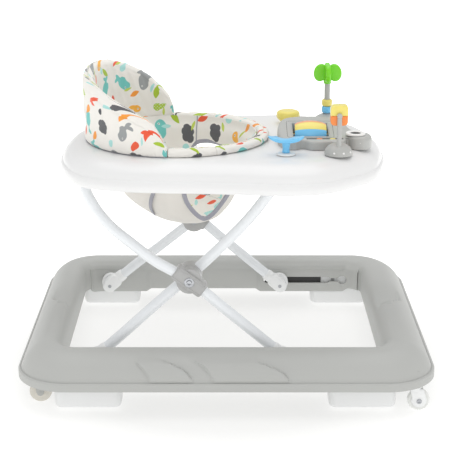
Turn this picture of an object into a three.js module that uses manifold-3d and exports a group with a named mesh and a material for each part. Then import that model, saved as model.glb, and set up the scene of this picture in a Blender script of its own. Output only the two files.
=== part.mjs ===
// Baby walker: rounded base ring on wheels, folding scissor frame, activity tray and soft seat.
// Millimetres. +X points forward (toy side), +Y is the walker's left, +Z is up, floor at z = 0.
import * as THREE from "three";
import Module from "manifold-3d";
import { mergeVertices } from "three/addons/utils/BufferGeometryUtils.js";

const wasm = await Module();
wasm.setup();

// ---- Driving dimensions ----
const BASE = { halfX: 345, halfY: 292, corner: 85, openFront: 262, openRear: -274, openY: 213, openCorner: 30 };
const LEG = { r: 9, wall: 1.6, lowerY: 186, innerHubY: 160, innerTopY: 142, outerTopY: 137 };
const PIVOT_REAR = [-226, 58];
const SLIDER_REST = [104, 58];
const HUB = [-61, 199];
const TRAY_PIVOT = [-220, 372];
const TRAY_SLIDER = [98, 372];
const TRAY = { bottom: 352, deck: 397, skin: 6 };
const SEAT = { x: -85, holeA: 140, holeB: 134, ringA: 158, ringB: 151, ringWidth: 20, backWidth: 18, backHalfAngle: 1.5 };
const WHEEL = { r: 18.5, facets: 22, width: 12, axle: 3 };
const WHEEL_Z = WHEEL.r * Math.cos(Math.PI / WHEEL.facets);
const CASTER = { x: 306, y: 256, trail: 8 };
const REAR_WHEEL = { x: -308, y: 222 };
const GAP = 0.4;

// ---- Materials ----
const look = (color, roughness, metalness = 0) => () =>
  new THREE.MeshStandardMaterial({ color, roughness, metalness });
const MAT = {
  grey: look(0xb4b6b3, 0.45),
  toyGrey: look(0xb8b8b5, 0.4),
  white: look(0xf4f4f3, 0.35),
  steelWhite: look(0xe9edef, 0.3, 0.1),
  metal: look(0xb9bbbd, 0.3, 0.9),
  hub: look(0xaaaaa8, 0.45),
  rubber: look(0xd9d6cf, 0.7),
  fabric: look(0xece8e1, 0.9),
  yellow: look(0xf5e68a, 0.4),
  orange: look(0xf59646, 0.4),
  blue: look(0x8ad2f5, 0.35),
  green: look(0x7ed321, 0.4),
};

const walker = new THREE.Group();
walker.name = "baby_walker";

function add(name, geometry, material, position = [0, 0, 0]) {
  const mesh = new THREE.Mesh(geometry, material());
  mesh.name = name;
  mesh.position.set(...position);
  walker.add(mesh);
  return mesh;
}

// ---- Solid helpers ----
function solid(geometry) {
  const g = geometry.clone();
  g.deleteAttribute("normal");
  g.deleteAttribute("uv");
  const merged = mergeVertices(g, 1e-3);
  return new wasm.Manifold(
    new wasm.Mesh({
      numProp: 3,
      vertProperties: new Float32Array(merged.attributes.position.array),
      triVerts: new Uint32Array(merged.index.array),
    }),
  );
}

function geometryOf(body) {
  const mesh = body.getMesh();
  const g = new THREE.BufferGeometry();
  g.setAttribute("position", new THREE.Float32BufferAttribute(mesh.vertProperties, 3));
  g.setIndex(new THREE.Uint32BufferAttribute(mesh.triVerts, 1));
  return g;
}

const join = (...bodies) => bodies.reduce((a, b) => a.add(b));
const cut = (body, ...tools) => tools.reduce((a, b) => a.subtract(b), body);
const largest = (body) => body.decompose().sort((a, b) => b.volume() - a.volume())[0];

function box(x0, x1, y0, y1, z0, z1) {
  const g = new THREE.BoxGeometry(x1 - x0, y1 - y0, z1 - z0);
  g.translate((x0 + x1) / 2, (y0 + y1) / 2, (z0 + z1) / 2);
  return solid(g);
}

// Straight round bar between two heights on one axis.
function rod(axis, centre, r, from, to, segments = 14) {
  const g = new THREE.CylinderGeometry(r, r, to - from, segments);
  if (axis === "x") g.rotateZ(-Math.PI / 2);
  if (axis === "z") g.rotateX(Math.PI / 2);
  const mid = (from + to) / 2;
  if (axis === "x") g.translate(mid, centre[0], centre[1]);
  if (axis === "y") g.translate(centre[0], mid, centre[1]);
  if (axis === "z") g.translate(centre[0], centre[1], mid);
  return solid(g);
}

// Body of revolution: profile is [radius, height] pairs that start and end on the axis.
function turned(axis, centre, profile, segments = 18) {
  const g = new THREE.LatheGeometry(profile.map(([r, h]) => new THREE.Vector2(r, h)), segments);
  if (axis === "z") g.rotateX(Math.PI / 2);
  if (axis === "x") g.rotateZ(-Math.PI / 2);
  g.translate(...centre);
  return solid(g);
}

// Skin over a stack of loops with equal point counts; ends are capped unless the stack is closed.
function loft(loops, closedStack = false) {
  const n = loops[0].length;
  const points = loops.flat().flatMap((p) => [p.x, p.y, p.z]);
  const index = [];
  const last = closedStack ? loops.length : loops.length - 1;
  for (let k = 0; k < last; k++) {
    const a = k * n;
    const b = ((k + 1) % loops.length) * n;
    for (let i = 0; i < n; i++) {
      const j = (i + 1) % n;
      index.push(a + i, a + j, b + j, a + i, b + j, b + i);
    }
  }
  if (!closedStack) {
    for (const [k, flip] of [[0, true], [loops.length - 1, false]]) {
      const c = new THREE.Vector3();
      loops[k].forEach((p) => c.add(p));
      c.divideScalar(n);
      const ci = points.length / 3;
      points.push(c.x, c.y, c.z);
      for (let i = 0; i < n; i++) {
        const j = (i + 1) % n;
        if (flip) index.push(ci, k * n + j, k * n + i);
        else index.push(ci, k * n + i, k * n + j);
      }
    }
  }
  const g = new THREE.BufferGeometry();
  g.setAttribute("position", new THREE.Float32BufferAttribute(points, 3));
  g.setIndex(index);
  const body = solid(g);
  if (body.volume() > 0) return body;
  for (let i = 0; i < index.length; i += 3) [index[i], index[i + 1]] = [index[i + 1], index[i]];
  g.setIndex(index);
  return solid(g);
}

// Round tube along a smooth path; a wall thickness leaves it hollow.
function tube(points, r, wall = 0, steps = 11, segments = 4) {
  const path = new THREE.CatmullRomCurve3(points.map((p) => new THREE.Vector3(...p)), false, "centripetal");
  const shape = new THREE.Shape().absarc(0, 0, r, 0, Math.PI * 2);
  if (wall) shape.holes.push(new THREE.Path().absarc(0, 0, r - wall, 0, Math.PI * 2, true));
  const g = new THREE.ExtrudeGeometry(shape, { steps, extrudePath: path, curveSegments: segments });
  return solid(g);
}

const V = (x, y, z) => new THREE.Vector3(x, y, z);
const lerp = (a, b, t) => a + (b - a) * t;

// Closed loop from a smooth curve through control points given for one side and mirrored in Y.
function mirroredOutline(half, count) {
  const inner = half.slice(1, -1);
  const all = [half[0], ...inner, half[half.length - 1], ...inner.map(([x, y]) => [x, -y]).reverse()];
  const curve = new THREE.CatmullRomCurve3(all.map(([x, y]) => V(x, y, 0)), true, "centripetal");
  return curve.getSpacedPoints(count).slice(0, count);
}

function offsetIn(loop, d) {
  const n = loop.length;
  return loop.map((p, i) => {
    const a = loop[(i + n - 1) % n];
    const b = loop[(i + 1) % n];
    const t = b.clone().sub(a).normalize();
    const side = V(-t.y, t.x, 0);
    if (side.dot(V(-10, 0, 0).sub(p)) < 0) side.negate();
    return p.clone().addScaledVector(side, d);
  });
}

const atHeight = (loop, z) => loop.map((p) => V(p.x, p.y, z));

// ---- Base ring ----
function roundedRectangle(x0, x1, halfY, r, perCorner) {
  const loop = [];
  const corners = [[x1 - r, halfY - r, 0], [x0 + r, halfY - r, 90], [x0 + r, -halfY + r, 180], [x1 - r, -halfY + r, 270]];
  for (const [cx, cy, start] of corners) {
    for (let i = 0; i <= perCorner; i++) {
      const a = THREE.MathUtils.degToRad(start + (90 * i) / perCorner);
      loop.push(V(cx + r * Math.cos(a), cy + r * Math.sin(a), 0));
    }
  }
  return loop;
}

const BASE_SECTION = [
  [1, 46], [1, 58], [0.93, 60.5], [0.86, 71], [0.73, 84], [0.57, 93.5], [0.43, 97.8], [0.3, 99.2], [0.16, 97],
  [0.05, 91], [0, 82], [0, 42], [0.05, 42], [0.05, 81], [0.16, 91], [0.31, 94.5], [0.55, 89], [0.72, 77],
  [0.86, 56], [0.945, 54], [0.95, 46],
];
const FAR_SIDES = [["left", 1], ["right", -1]];

function baseRing() {
  const outer = roundedRectangle(-BASE.halfX, BASE.halfX, BASE.halfY, BASE.corner, 6);
  const inner = roundedRectangle(BASE.openRear, BASE.openFront, BASE.openY, BASE.openCorner, 6);
  const loops = BASE_SECTION.map(([t, z]) => outer.map((p, i) => V(lerp(inner[i].x, p.x, t), lerp(inner[i].y, p.y, t), z)));
  let body = loft(loops, true);
  for (const [, s] of FAR_SIDES) {
    const wall = (x0, x1) => box(x0, x1, Math.min(s * 213, s * 217), Math.max(s * 213, s * 217), 34, 50);
    body = join(body, wall(-262, -150), wall(52, 236));
    body = join(body, rod("z", [CASTER.x, s * CASTER.y], 8, 46, 69));
    body = join(body, rod("z", [REAR_WHEEL.x, s * REAR_WHEEL.y], 8, 46, 86));
    const slotTool = box(80, 198, Math.min(s * 205, s * 225), Math.max(s * 205, s * 225), 51.6, 64.4);
    const ends = [80, 198].map((x) => rod("y", [x, 58], 6.4, s > 0 ? 205 : -225, s > 0 ? 225 : -205));
    const keyhole = box(197, 226, Math.min(s * 205, s * 225), Math.max(s * 205, s * 225), 54.5, 61.5);
    const keyholeEnd = rod("y", [228, 58], 8.5, s > 0 ? 205 : -225, s > 0 ? 225 : -205);
    const rearHole = rod("y", PIVOT_REAR, 6.4, s > 0 ? 205 : -225, s > 0 ? 225 : -205);
    body = cut(body, slotTool, ...ends, keyhole, keyholeEnd, rearHole);
    body = cut(body, rod("z", [CASTER.x, s * CASTER.y], 4.6, 40, 66));
    body = cut(body, rod("z", [REAR_WHEEL.x, s * REAR_WHEEL.y], 4.6, 40, 74));
  }
  add("base_ring", geometryOf(body), MAT.grey);
}

function stopperBlock(name, x0, x1, s) {
  const plan = roundedRectangle(x0, x1, 23.5, 13, 3);
  const low = offsetIn2(plan, 2.5);
  const shift = (loop) => loop.map((p) => V(p.x, p.y + s * 243, p.z));
  const pad = loft([atHeight(low, 6), atHeight(plan, 9), atHeight(plan, 45.4)].map(shift));
  const neck = box(x0 + 20, x1 - 20, Math.min(s * 234, s * 254), Math.max(s * 234, s * 254), 45, 84);
  add(name, geometryOf(join(pad, neck)), MAT.white);
}

// Inward offset for loops that are centred on y = 0 but not on x = 0.
function offsetIn2(loop, d) {
  const cx = loop.reduce((sum, p) => sum + p.x, 0) / loop.length;
  return loop.map((p) => V(p.x - Math.sign(p.x - cx) * d, p.y - Math.sign(p.y) * d, p.z));
}

// ---- Wheels ----
function wheelProfile(halfWidth, r) {
  return [
    [0, -halfWidth], [r - 4, -halfWidth], [r, -halfWidth + 3], [r, halfWidth - 3], [r - 4, halfWidth],
    [0, halfWidth],
  ];
}

function wheel(name, x, y, material) {
  const body = turned("y", [x, y, WHEEL_Z], wheelProfile(WHEEL.width / 2, WHEEL.r), WHEEL.facets);
  const bore = rod("y", [x, WHEEL_Z], WHEEL.axle + GAP, y - 12, y + 12, 16);
  add(name, geometryOf(cut(body, bore)), material);
}

// Fork with two cheeks, a top plate and a round stem that enters the base boss.
function wheelFork(name, x, y, wheelX, stemTop, material, axleStub) {
  const inner = WHEEL.width / 2 + 0.8;
  const outer = inner + 2.6;
  let body = join(rod("z", [x, y], 13, 38.4, 42.4, 18), rod("z", [x, y], 4, 42, stemTop, 12));
  for (const side of [-1, 1]) {
    const y0 = y + Math.min(side * inner, side * outer);
    const y1 = y + Math.max(side * inner, side * outer);
    const cheek = box(wheelX - 6, wheelX + 6, y0, y1, WHEEL_Z, 40);
    body = join(body, cheek, rod("y", [wheelX, WHEEL_Z], 6, y0, y1, 16));
  }
  if (axleStub) body = join(body, rod("y", [wheelX, WHEEL_Z], WHEEL.axle, y - outer, y + outer, 16));
  else body = cut(body, rod("y", [wheelX, WHEEL_Z], WHEEL.axle + GAP, y - 14, y + 14, 16));
  add(name, geometryOf(body), material);
}

function axlePin(name, x, y, s) {
  const h = WHEEL.width / 2 + 3.4;
  const profile = [[0, -h - 1.6], [5, -h - 1.6], [5, -h - GAP], [WHEEL.axle, -h - GAP], [WHEEL.axle, h + 0.6], [0, h + 0.6]];
  const body = turned("y", [x, y, WHEEL_Z], s > 0 ? profile.map(([r, z]) => [r, -z]).reverse() : profile, 16);
  add(name, geometryOf(body), MAT.metal);
}

function wheels() {
  for (const [side, s] of FAR_SIDES) {
    const wx = CASTER.x + CASTER.trail;
    wheelFork(`caster_fork_${side}`, CASTER.x, s * CASTER.y, wx, 65, MAT.white, false);
    wheel(`caster_wheel_${side}`, wx, s * CASTER.y, MAT.white);
    axlePin(`caster_axle_${side}`, wx, s * CASTER.y, s);
    wheelFork(`rear_wheel_bracket_${side}`, REAR_WHEEL.x, s * REAR_WHEEL.y, REAR_WHEEL.x, 72, MAT.grey, true);
    wheel(`rear_wheel_${side}`, REAR_WHEEL.x, s * REAR_WHEEL.y, MAT.rubber);
  }
}

// ---- Scissor frame ----
const innerPath = (s) => [
  [PIVOT_REAR[0] + 12, s * LEG.lowerY, PIVOT_REAR[1] + 10.3], [-176, s * 182, 100.7], [-118, s * 168, 150.3],
  [-61, s * LEG.innerHubY, 199], [-14, s * 158, 243], [36, s * 153, 294], [72, s * 147, 339],
  [TRAY_SLIDER[0] - 4, s * LEG.innerTopY, TRAY_SLIDER[1] - 6],
];
const outerPath = (s) => [
  [SLIDER_REST[0] - 12, s * LEG.lowerY, SLIDER_REST[1] + 10.3], [50, s * LEG.lowerY, 104.1],
  [-5, s * LEG.lowerY, 151.2], [-61, s * LEG.lowerY, 199], [-118, s * 182, 232], [-156, s * 173, 259],
  [-192, s * 161, 286], [-218, s * 148, 315], [-232, s * 139, 344], [TRAY_PIVOT[0] - 3, s * LEG.outerTopY, TRAY_PIVOT[1] - 5],
];

function leg(name, path, knuckle, knuckleY, hubY, pinR) {
  const s = Math.sign(knuckleY);
  const half = 9;
  let body = tube(path, LEG.r, LEG.wall);
  const eye = rod("y", knuckle, 11.5, knuckleY - half, knuckleY + half, 16);
  body = cut(join(body, eye), rod("y", knuckle, pinR, knuckleY - 20, knuckleY + 20, 16));
  body = cut(body, rod("y", HUB, 5.5, hubY - 20, hubY + 20, 16));
  if (s) add(name, geometryOf(body), MAT.steelWhite);
}

// Moulded cap over the cut end of a leg, bored from the outside for its pin.
function legCap(name, centre, s, pathOf) {
  const [x, z] = centre;
  const y = s * LEG.lowerY;
  const body = turned("y", [x, y, z], [[0, -13.4], [10, -13.4], [13, -10.5], [13, 10.5], [10, 13.4], [0, 13.4]], 16);
  const dir = new THREE.Vector3(HUB[0] - x, 0, HUB[1] - z).normalize();
  const sleeve = new THREE.CylinderGeometry(11.6, 11.6, 34, 14);
  sleeve.applyQuaternion(new THREE.Quaternion().setFromUnitVectors(V(0, 1, 0), dir));
  sleeve.translate(x + dir.x * 17, y, z + dir.z * 17);
  const path = pathOf(s);
  path[0] = [path[0][0] - dir.x * 0.6, path[0][1], path[0][2] - dir.z * 0.6];
  const bore = tube(path, LEG.r + 0.55);
  const pinBore = rod("y", centre, 4.4, s > 0 ? y - 10 : y - 20, s > 0 ? y + 20 : y + 10, 16);
  add(name, geometryOf(cut(join(body, solid(sleeve)), bore, pinBore)), MAT.white);
}

// Headed pin: shank in the leg cap, spacer disc on the base wall, neck through it, head behind it.
function wallPin(name, centre, s) {
  const profile = [[0, 176.6], [4, 176.6], [4, 199.9], [17, 199.9], [17, 210], [15, 212.5], [5.6, 212.5], [5.6, 217.6], [10, 217.6], [10, 221.5], [0, 221.5]];
  const shaped = s > 0 ? profile : profile.map(([r, h]) => [r, -h]).reverse();
  add(name, geometryOf(turned("y", [centre[0], 0, centre[1]], shaped, 16)), MAT.white);
}

// Two-part grey hub: a long clamp around the outer leg, a saddle around the inner leg, one bolt.
function hub(side, s) {
  const sorted = (a, b) => [Math.min(s * a, s * b), Math.max(s * a, s * b)];
  const [c0, c1] = sorted(173.4, 198.4);
  const plate = roundedRectangle(-29, 29, 13, 5, 3);
  const slab = loft([atHeight(plate, 0), atHeight(plate, 25)]);
  const flat = slab.rotate([-90, 0, 0]).translate([0, -12.5, 0]).rotate([0, 36.5, 0]);
  const placed = flat.translate([HUB[0], (c0 + c1) / 2, HUB[1]]);
  const [r0, r1] = sorted(173.4, 194.4);
  let clamp = join(placed, rod("y", HUB, 21.5, r0, r1, 24));
  clamp = cut(clamp, tube(outerPath(s), LEG.r + GAP), rod("y", HUB, 5.5, -230, 230, 16));
  add(`hub_clamp_${side}`, geometryOf(clamp), MAT.hub);
  const [i0, i1] = sorted(148, 173);
  let saddle = rod("y", HUB, 21.5, i0, i1, 24);
  saddle = cut(saddle, tube(innerPath(s), LEG.r + GAP), rod("y", HUB, 5.5, -230, 230, 16));
  add(`hub_saddle_${side}`, geometryOf(saddle), MAT.hub);
  const profile = [[0, 144.5], [8, 144.5], [8, 147.6], [5, 147.6], [5, 198.9], [8.5, 198.9], [8.5, 201.5], [6, 203.5], [0, 203.5]];
  const shaped = s > 0 ? profile : profile.map(([r, h]) => [r, -h]).reverse();
  add(`hub_bolt_${side}`, geometryOf(turned("y", [HUB[0], 0, HUB[1]], shaped, 14)), MAT.metal);
}

function scissorFrame() {
  for (const [side, s] of FAR_SIDES) {
    leg(`inner_leg_${side}`, innerPath(s), TRAY_SLIDER, s * LEG.innerTopY, s * LEG.innerHubY, 4.4);
    leg(`outer_leg_${side}`, outerPath(s), TRAY_PIVOT, s * LEG.outerTopY, s * LEG.lowerY, 4.4);
    legCap(`inner_leg_cap_${side}`, PIVOT_REAR, s, innerPath);
    legCap(`outer_leg_cap_${side}`, SLIDER_REST, s, outerPath);
    wallPin(`pivot_pin_${side}`, PIVOT_REAR, s);
    wallPin(`slider_pin_${side}`, SLIDER_REST, s);
    hub(side, s);
  }
  crossTube("inner_cross_tube", TRAY_SLIDER, LEG.innerTopY);
  crossTube("outer_cross_tube", TRAY_PIVOT, LEG.outerTopY);
}

// Cross tube with reduced ends that run through the eyes of both legs.
function crossTube(name, centre, legY) {
  const inner = legY - 9.5;
  const outer = legY + 8.5;
  const profile = [[0, -outer], [4, -outer], [4, -inner], [8, -inner], [8, inner], [4, inner], [4, outer], [0, outer]];
  add(name, geometryOf(turned("y", [centre[0], 0, centre[1]], profile, 16)), MAT.steelWhite);
}

// ---- Tray ----
const TRAY_OUTLINE = [
  [-287, 0], [-277, 86], [-240, 164], [-185, 193], [-120, 203], [-40, 208], [40, 216], [105, 222], [160, 209],
  [208, 172], [246, 130], [266, 72], [274, 0],
];
const TRAY_SKIN = [
  [3, 352], [0, 355.5], [0, 362], [3, 369.5], [5.5, 371.5], [10, 380], [18, 387.5], [30, 393.5], [42, 396.5],
];
const TRAY_LINING = [[42, 391], [31, 388], [21, 382.5], [14, 375], [9.5, 367], [6, 361], [5.5, 352]];

function seatHole(outline, a, b, z) {
  return outline.map((p) => {
    const angle = Math.atan2(p.y / b, (p.x - SEAT.x) / a);
    return V(SEAT.x + a * Math.cos(angle), b * Math.sin(angle), z);
  });
}

function tray() {
  const outline = mirroredOutline(TRAY_OUTLINE, 48);
  const skin = TRAY_SKIN.map(([d, z]) => atHeight(offsetIn(outline, d), z));
  const lining = TRAY_LINING.map(([d, z]) => atHeight(offsetIn(outline, d), z));
  const top = [seatHole(outline, SEAT.holeA + 4, SEAT.holeB + 4, TRAY.deck), seatHole(outline, SEAT.holeA, SEAT.holeB, 394)];
  const under = [seatHole(outline, SEAT.holeA, SEAT.holeB, 391)];
  let body = loft([...skin, ...top, ...under, ...lining], true);
  body = cut(body, box(110, 175, -74, -18, 380, 405));
  add("tray_shell", geometryOf(body), MAT.white);
  const clearance = body.translate([0, 0, -0.5]);
  for (const [side, s] of FAR_SIDES) {
    trayBracket(`tray_bracket_${side}`, s, clearance);
    slideGuide(`slide_guide_${side}`, s, clearance);
  }
  heightLock(clearance);
}

// Plate hanging from the deck that carries the rear cross tube.
function trayBracket(name, s, clearance) {
  const y0 = Math.min(s * 112, s * 120);
  const y1 = Math.max(s * 112, s * 120);
  let body = join(box(-234, -206, y0, y1, 372, 393), rod("y", TRAY_PIVOT, 14, y0, y1, 20));
  body = cut(body, rod("y", TRAY_PIVOT, 8.5, y0 - 4, y1 + 4, 16), clearance);
  add(name, geometryOf(largest(body)), MAT.white);
}

// Slotted rail under the deck that the front cross tube slides in.
function slideGuide(name, s, clearance) {
  const y0 = Math.min(s * 98, s * 106);
  const y1 = Math.max(s * 98, s * 106);
  const rail = box(56, 230, y0, y1, 357, 393);
  const slot = box(72, 214, y0 - 4, y1 + 4, 363.4, 380.6);
  const ends = [72, 214].map((x) => rod("y", [x, 372], 8.6, y0 - 4, y1 + 4, 16));
  add(name, geometryOf(largest(cut(rail, slot, ...ends, clearance))), MAT.white);
}

// ---- Height lock lever under the front of the tray ----
function heightLock(clearance) {
  const plan = roundedRectangle(236, 259, 27, 6, 3);
  const paddle = loft([atHeight(plan, 357), atHeight(plan, 363)]);
  const barrel = rod("y", [242, 367], 6, -27, 27, 16);
  const bore = rod("y", [242, 367], 3.5, -40, 40, 12);
  add("height_lock_lever", geometryOf(cut(join(paddle, barrel), bore)), MAT.hub);
  const lugs = [-32, 28].map((y) => box(236, 248, y, y + 4, 362, 388));
  const plate = box(236, 248, -32, 32, 382, 393);
  const bracket = join(plate, ...lugs, rod("y", [242, 367], 3, -31, 31, 12));
  add("height_lock_bracket", geometryOf(largest(cut(bracket, clearance))), MAT.white);
}

// ---- Seat ----
function seatWall(angleFrom, angleTo, steps, section) {
  const loops = [];
  for (let k = 0; k <= steps; k++) {
    const u = k / steps;
    const angle = lerp(angleFrom, angleTo, u);
    const [c, s] = [Math.cos(angle), Math.sin(angle)];
    loops.push(section(angle).map(([inward, z]) => V(SEAT.x + (SEAT.ringA - inward) * c, (SEAT.ringB - inward) * s, z)));
  }
  return loft(loops);
}

// Padded roll around the front of the seat opening; it stops where the backrest wings start.
function seatRing() {
  const section = [
    [0.12, 397.7], [0, 401], [0.02, 405], [0.14, 408.6], [0.36, 411], [0.64, 411], [0.88, 408.6], [1, 405],
    [1.02, 401], [0.9, 397.7],
  ];
  const end = Math.PI - SEAT.backHalfAngle - 0.006;
  const body = seatWall(-end, end, 26, () => section.map(([t, z]) => [t * SEAT.ringWidth, z]));
  add("seat_ring_pad", geometryOf(body), MAT.fabric);
}

// Curved padded backrest around the rear of the seat opening, highest at the middle.
function seatBack() {
  const half = SEAT.backHalfAngle;
  const body = seatWall(Math.PI - half, Math.PI + half, 24, (angle) => {
    const u = Math.abs(angle - Math.PI) / half;
    const rise = 16 + 103 * (1 - Math.pow(u, 3.6));
    const shape = [[0.1, 0], [0, 0.05], [0, 0.4], [0, 0.75], [0.14, 0.94], [0.5, 1], [0.86, 0.94], [1, 0.75], [1, 0.4], [1, 0.05], [0.9, 0]];
    return shape.map(([t, h]) => [SEAT.backWidth * t, 397.7 + rise * h]);
  });
  add("seat_back_pad", geometryOf(body), MAT.fabric);
}

const SLING_LEVELS = [
  [-85, 135, 129, 396.6], [-84, 126, 124, 384], [-84, 123, 121, 360], [-82, 112, 114, 330], [-80, 98, 104, 302],
  [-72, 76, 88, 276], [-64, 50, 62, 259], [-58, 22, 30, 251],
];

function bagLoops(inset, lift) {
  return SLING_LEVELS.map(([cx, a, b, z], k) => {
    const top = k === 0;
    const loop = [];
    for (let i = 0; i < 28; i++) {
      const ang = (i / 28) * Math.PI * 2;
      loop.push(V(cx + (a - inset) * Math.cos(ang), (b - inset) * Math.sin(ang), z + (top ? lift * 2 : lift)));
    }
    return loop;
  });
}

function seatSling() {
  let body = cut(loft(bagLoops(0, 0)), loft(bagLoops(4, 4)));
  for (const [, s] of FAR_SIDES) {
    const hole = new THREE.CylinderGeometry(43, 43, 120, 16);
    hole.scale(1, 1, 1.12);
    hole.rotateZ(THREE.MathUtils.degToRad(-s * 18));
    hole.translate(-34, s * 100, 318);
    body = cut(body, solid(hole));
  }
  add("seat_sling", geometryOf(body), MAT.fabric);
}

// ---- Toys ----
const DRUM = [-46, 411];
const BEADS = [-82.6, 409];
const PANEL_OUTLINE = [
  [88, -25], [89, -62], [99, -91], [117, -97], [130, -91], [143, -98], [157, -98], [168, -92], [180, -98],
  [195, -96], [204, -84], [214, -95], [231, -96], [243, -80], [243, -60], [232, -45], [216, -36], [208, -18],
  [199, 10], [172, 23], [130, 24], [100, 10],
];

function panelTop(x, y) {
  const rise = THREE.MathUtils.smoothstep(y, -97, 12);
  const head = THREE.MathUtils.smoothstep(x, 196, 216);
  return 413 + 16 * rise * (1 - head) + 5 * head;
}

function panelLoops(inset, drop) {
  const curve = new THREE.CatmullRomCurve3(PANEL_OUTLINE.map(([x, y]) => V(x, y, 0)), true, "centripetal");
  const ring = curve.getSpacedPoints(50).slice(0, 50);
  const centre = V(156, -36, 0);
  const scaled = (k) => ring.map((p) => p.clone().sub(centre).multiplyScalar(k).add(centre));
  const base = 1 - inset / 62;
  const levels = [[base, 0], [base, 0.78], [base * 0.965, 0.97], [base * 0.9, 1], [base * 0.6, 1], [base * 0.3, 1]];
  return levels.map(([k, f]) => scaled(k).map((p) => V(p.x, p.y, lerp(397.6, panelTop(p.x, p.y) - drop, f))));
}

function toyPanel() {
  let body = loft(panelLoops(0, 0));
  const hollow = loft(panelLoops(4, 4)).translate([0, 0, -2]);
  body = cut(body, hollow);
  const core = loft(panelLoops(0.5, 1));
  body = join(body, box(109, 176, -75.5, -16.5, 397.6, 430).intersect(core));
  body = join(body, box(131, 199, -90, -75, 400, 430).intersect(core));
  body = cut(body, box(112.5, 172.5, -72, -20, 380, 450), rod("x", DRUM, 3.5, 100, 180, 12));
  body = cut(body, box(134, 196, BEADS[0] - 3.3, BEADS[0] + 3.3, 403, 450));
  body = cut(body, rod("z", [184, -6], 5.1, 423.2, 450, 16));
  body = join(body, rod("x", BEADS, 1.3, 132, 198, 8));
  add("toy_panel", geometryOf(body), MAT.toyGrey);
}

function toyDrum() {
  const profile = [[0, -31.5], [3, -31.5], [3, -26.5], [19, -26.5], [22, -20], [24.4, -8], [24.8, 0], [24.4, 8], [22, 20], [19, 26.5], [3, 26.5], [3, 31.5], [0, 31.5]];
  add("toy_drum", geometryOf(turned("x", [142.5, ...DRUM], profile, 18)), MAT.yellow);
}

function panelDetails() {
  const ring = turned("z", [217, -72, 0], [[0, 418.8], [16, 418.8], [16, 420.2], [14, 421.2], [0, 421.2]], 20);
  add("panel_dial", geometryOf(ring), MAT.white);
  const cap = turned("z", [184, -6, 0], [[0, 425.8], [4.6, 425.8], [4.6, 430.6], [3.4, 431.8], [0, 431.8]], 14);
  add("panel_button", geometryOf(cap), MAT.white);
}

function flowerToy() {
  const [x, y] = [179, 70];
  const mound = [[0, 397.6], [27, 397.6], [27, 403], [24, 412], [17, 419], [9, 423], [5, 424], [5, 480], [0, 480]];
  add("flower_post", geometryOf(turned("z", [x, y, 0], mound, 16)), MAT.toyGrey);
  for (const [name, z0, material] of [["ring_blue", 425, MAT.blue], ["ring_yellow", 437.4, MAT.yellow]]) {
    const section = [[0, z0], [7, z0], [9, z0 + 2], [9.4, z0 + 6], [9, z0 + 10], [7, z0 + 12], [0, z0 + 12]];
    const body = cut(turned("z", [x, y, 0], section, 24), rod("z", [x, y], 5.4, z0 - 4, z0 + 16, 16));
    add(name, geometryOf(body), material);
  }
  let head = turned("z", [x, y, 0], [[0, 477], [7, 477], [7, 508], [4, 512], [0, 512]], 16);
  for (let k = 0; k < 4; k++) {
    const petal = new THREE.SphereGeometry(1, 12, 8);
    petal.scale(12.5, 4, 15.5);
    petal.translate(12.5, 0, 496.5);
    petal.rotateZ((k * Math.PI) / 2);
    petal.translate(x, y, 0);
    head = join(head, solid(petal));
  }
  head = cut(head, rod("z", [x, y], 5.4, 470, 481, 16));
  add("flower_head", geometryOf(head), MAT.green);
}

function tumblerToy() {
  const [x, y, z] = [184, -124, 464];
  const dome = turned("z", [x, y - 3, 0], [[0, 397.8], [23, 397.8], [23, 401], [21, 408], [15, 414], [6, 417], [0, 417]], 16);
  const post = rod("z", [x, y - 13.4], 3.8, 408, z, 16);
  const boss = rod("y", [x, z], 5, y - 17, y - 9.4, 16);
  const pin = rod("y", [x, z], 2.4, y - 12, y + 12, 16);
  add("tumbler_post", geometryOf(join(dome, post, boss, pin)), MAT.toyGrey);
  const plan = roundedRectangle(-14, 14, 17, 6, 4);
  const small = roundedRectangle(-12.5, 12.5, 15.5, 5, 4);
  let block = loft([atHeight(small, -9), atHeight(plan, -7), atHeight(plan, 7), atHeight(small, 9)]);
  block = block.rotate([90, 0, 0]).translate([x, y, z]);
  add("tumbler_block", geometryOf(cut(block, rod("y", [x, z], 2.8, y - 20, y + 20, 16))), MAT.yellow);
}

function tailToy() {
  const [x, y] = [98, -127];
  const seat = turned("z", [x, y, 0], [[0, 397.6], [16, 397.6], [16, 399.4], [14, 400.6], [0, 400.6]], 24);
  add("tail_toy_base", geometryOf(seat), MAT.white);
  const lobe = (dx) => {
    const g = new THREE.SphereGeometry(1, 12, 6);
    g.scale(17, 12, 7);
    g.translate(x + dx, y, 421);
    return solid(g);
  };
  const stem = turned("z", [x, y, 0], [[0, 401], [6.5, 401], [6, 410], [8, 418], [0, 420]], 20);
  add("tail_toy", geometryOf(join(stem, lobe(-12), lobe(12))), MAT.blue);
}

function leafToy() {
  const [x, y] = [112, 106];
  const knob = [[0, 397.8], [12, 397.8], [13, 402], [20, 406], [21.5, 412], [19, 418], [10, 421], [0, 421.6]];
  add("knob_toy", geometryOf(turned("z", [x, y, 0], knob, 16)), MAT.yellow);
}

function beads() {
  for (const [name, x, material] of [["bead_orange", 156, MAT.orange], ["bead_yellow", 178, MAT.yellow]]) {
    const profile = [[0, -4], [2, -4], [2.9, -2], [2.9, 2], [2, 4], [0, 4]];
    const body = cut(turned("x", [x, ...BEADS], profile, 14), rod("x", BEADS, 1.7, x - 9, x + 9, 10));
    add(name, geometryOf(body), material);
  }
}

baseRing();
for (const [side, s] of FAR_SIDES) {
  stopperBlock(`stopper_front_${side}`, 167, 277, s);
  stopperBlock(`stopper_rear_${side}`, -281, -171, s);
}
wheels();
scissorFrame();
tray();
seatRing();
seatBack();
seatSling();
toyPanel();
toyDrum();
beads();
panelDetails();
flowerToy();
tumblerToy();
tailToy();
leafToy();

export default walker;
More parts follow.
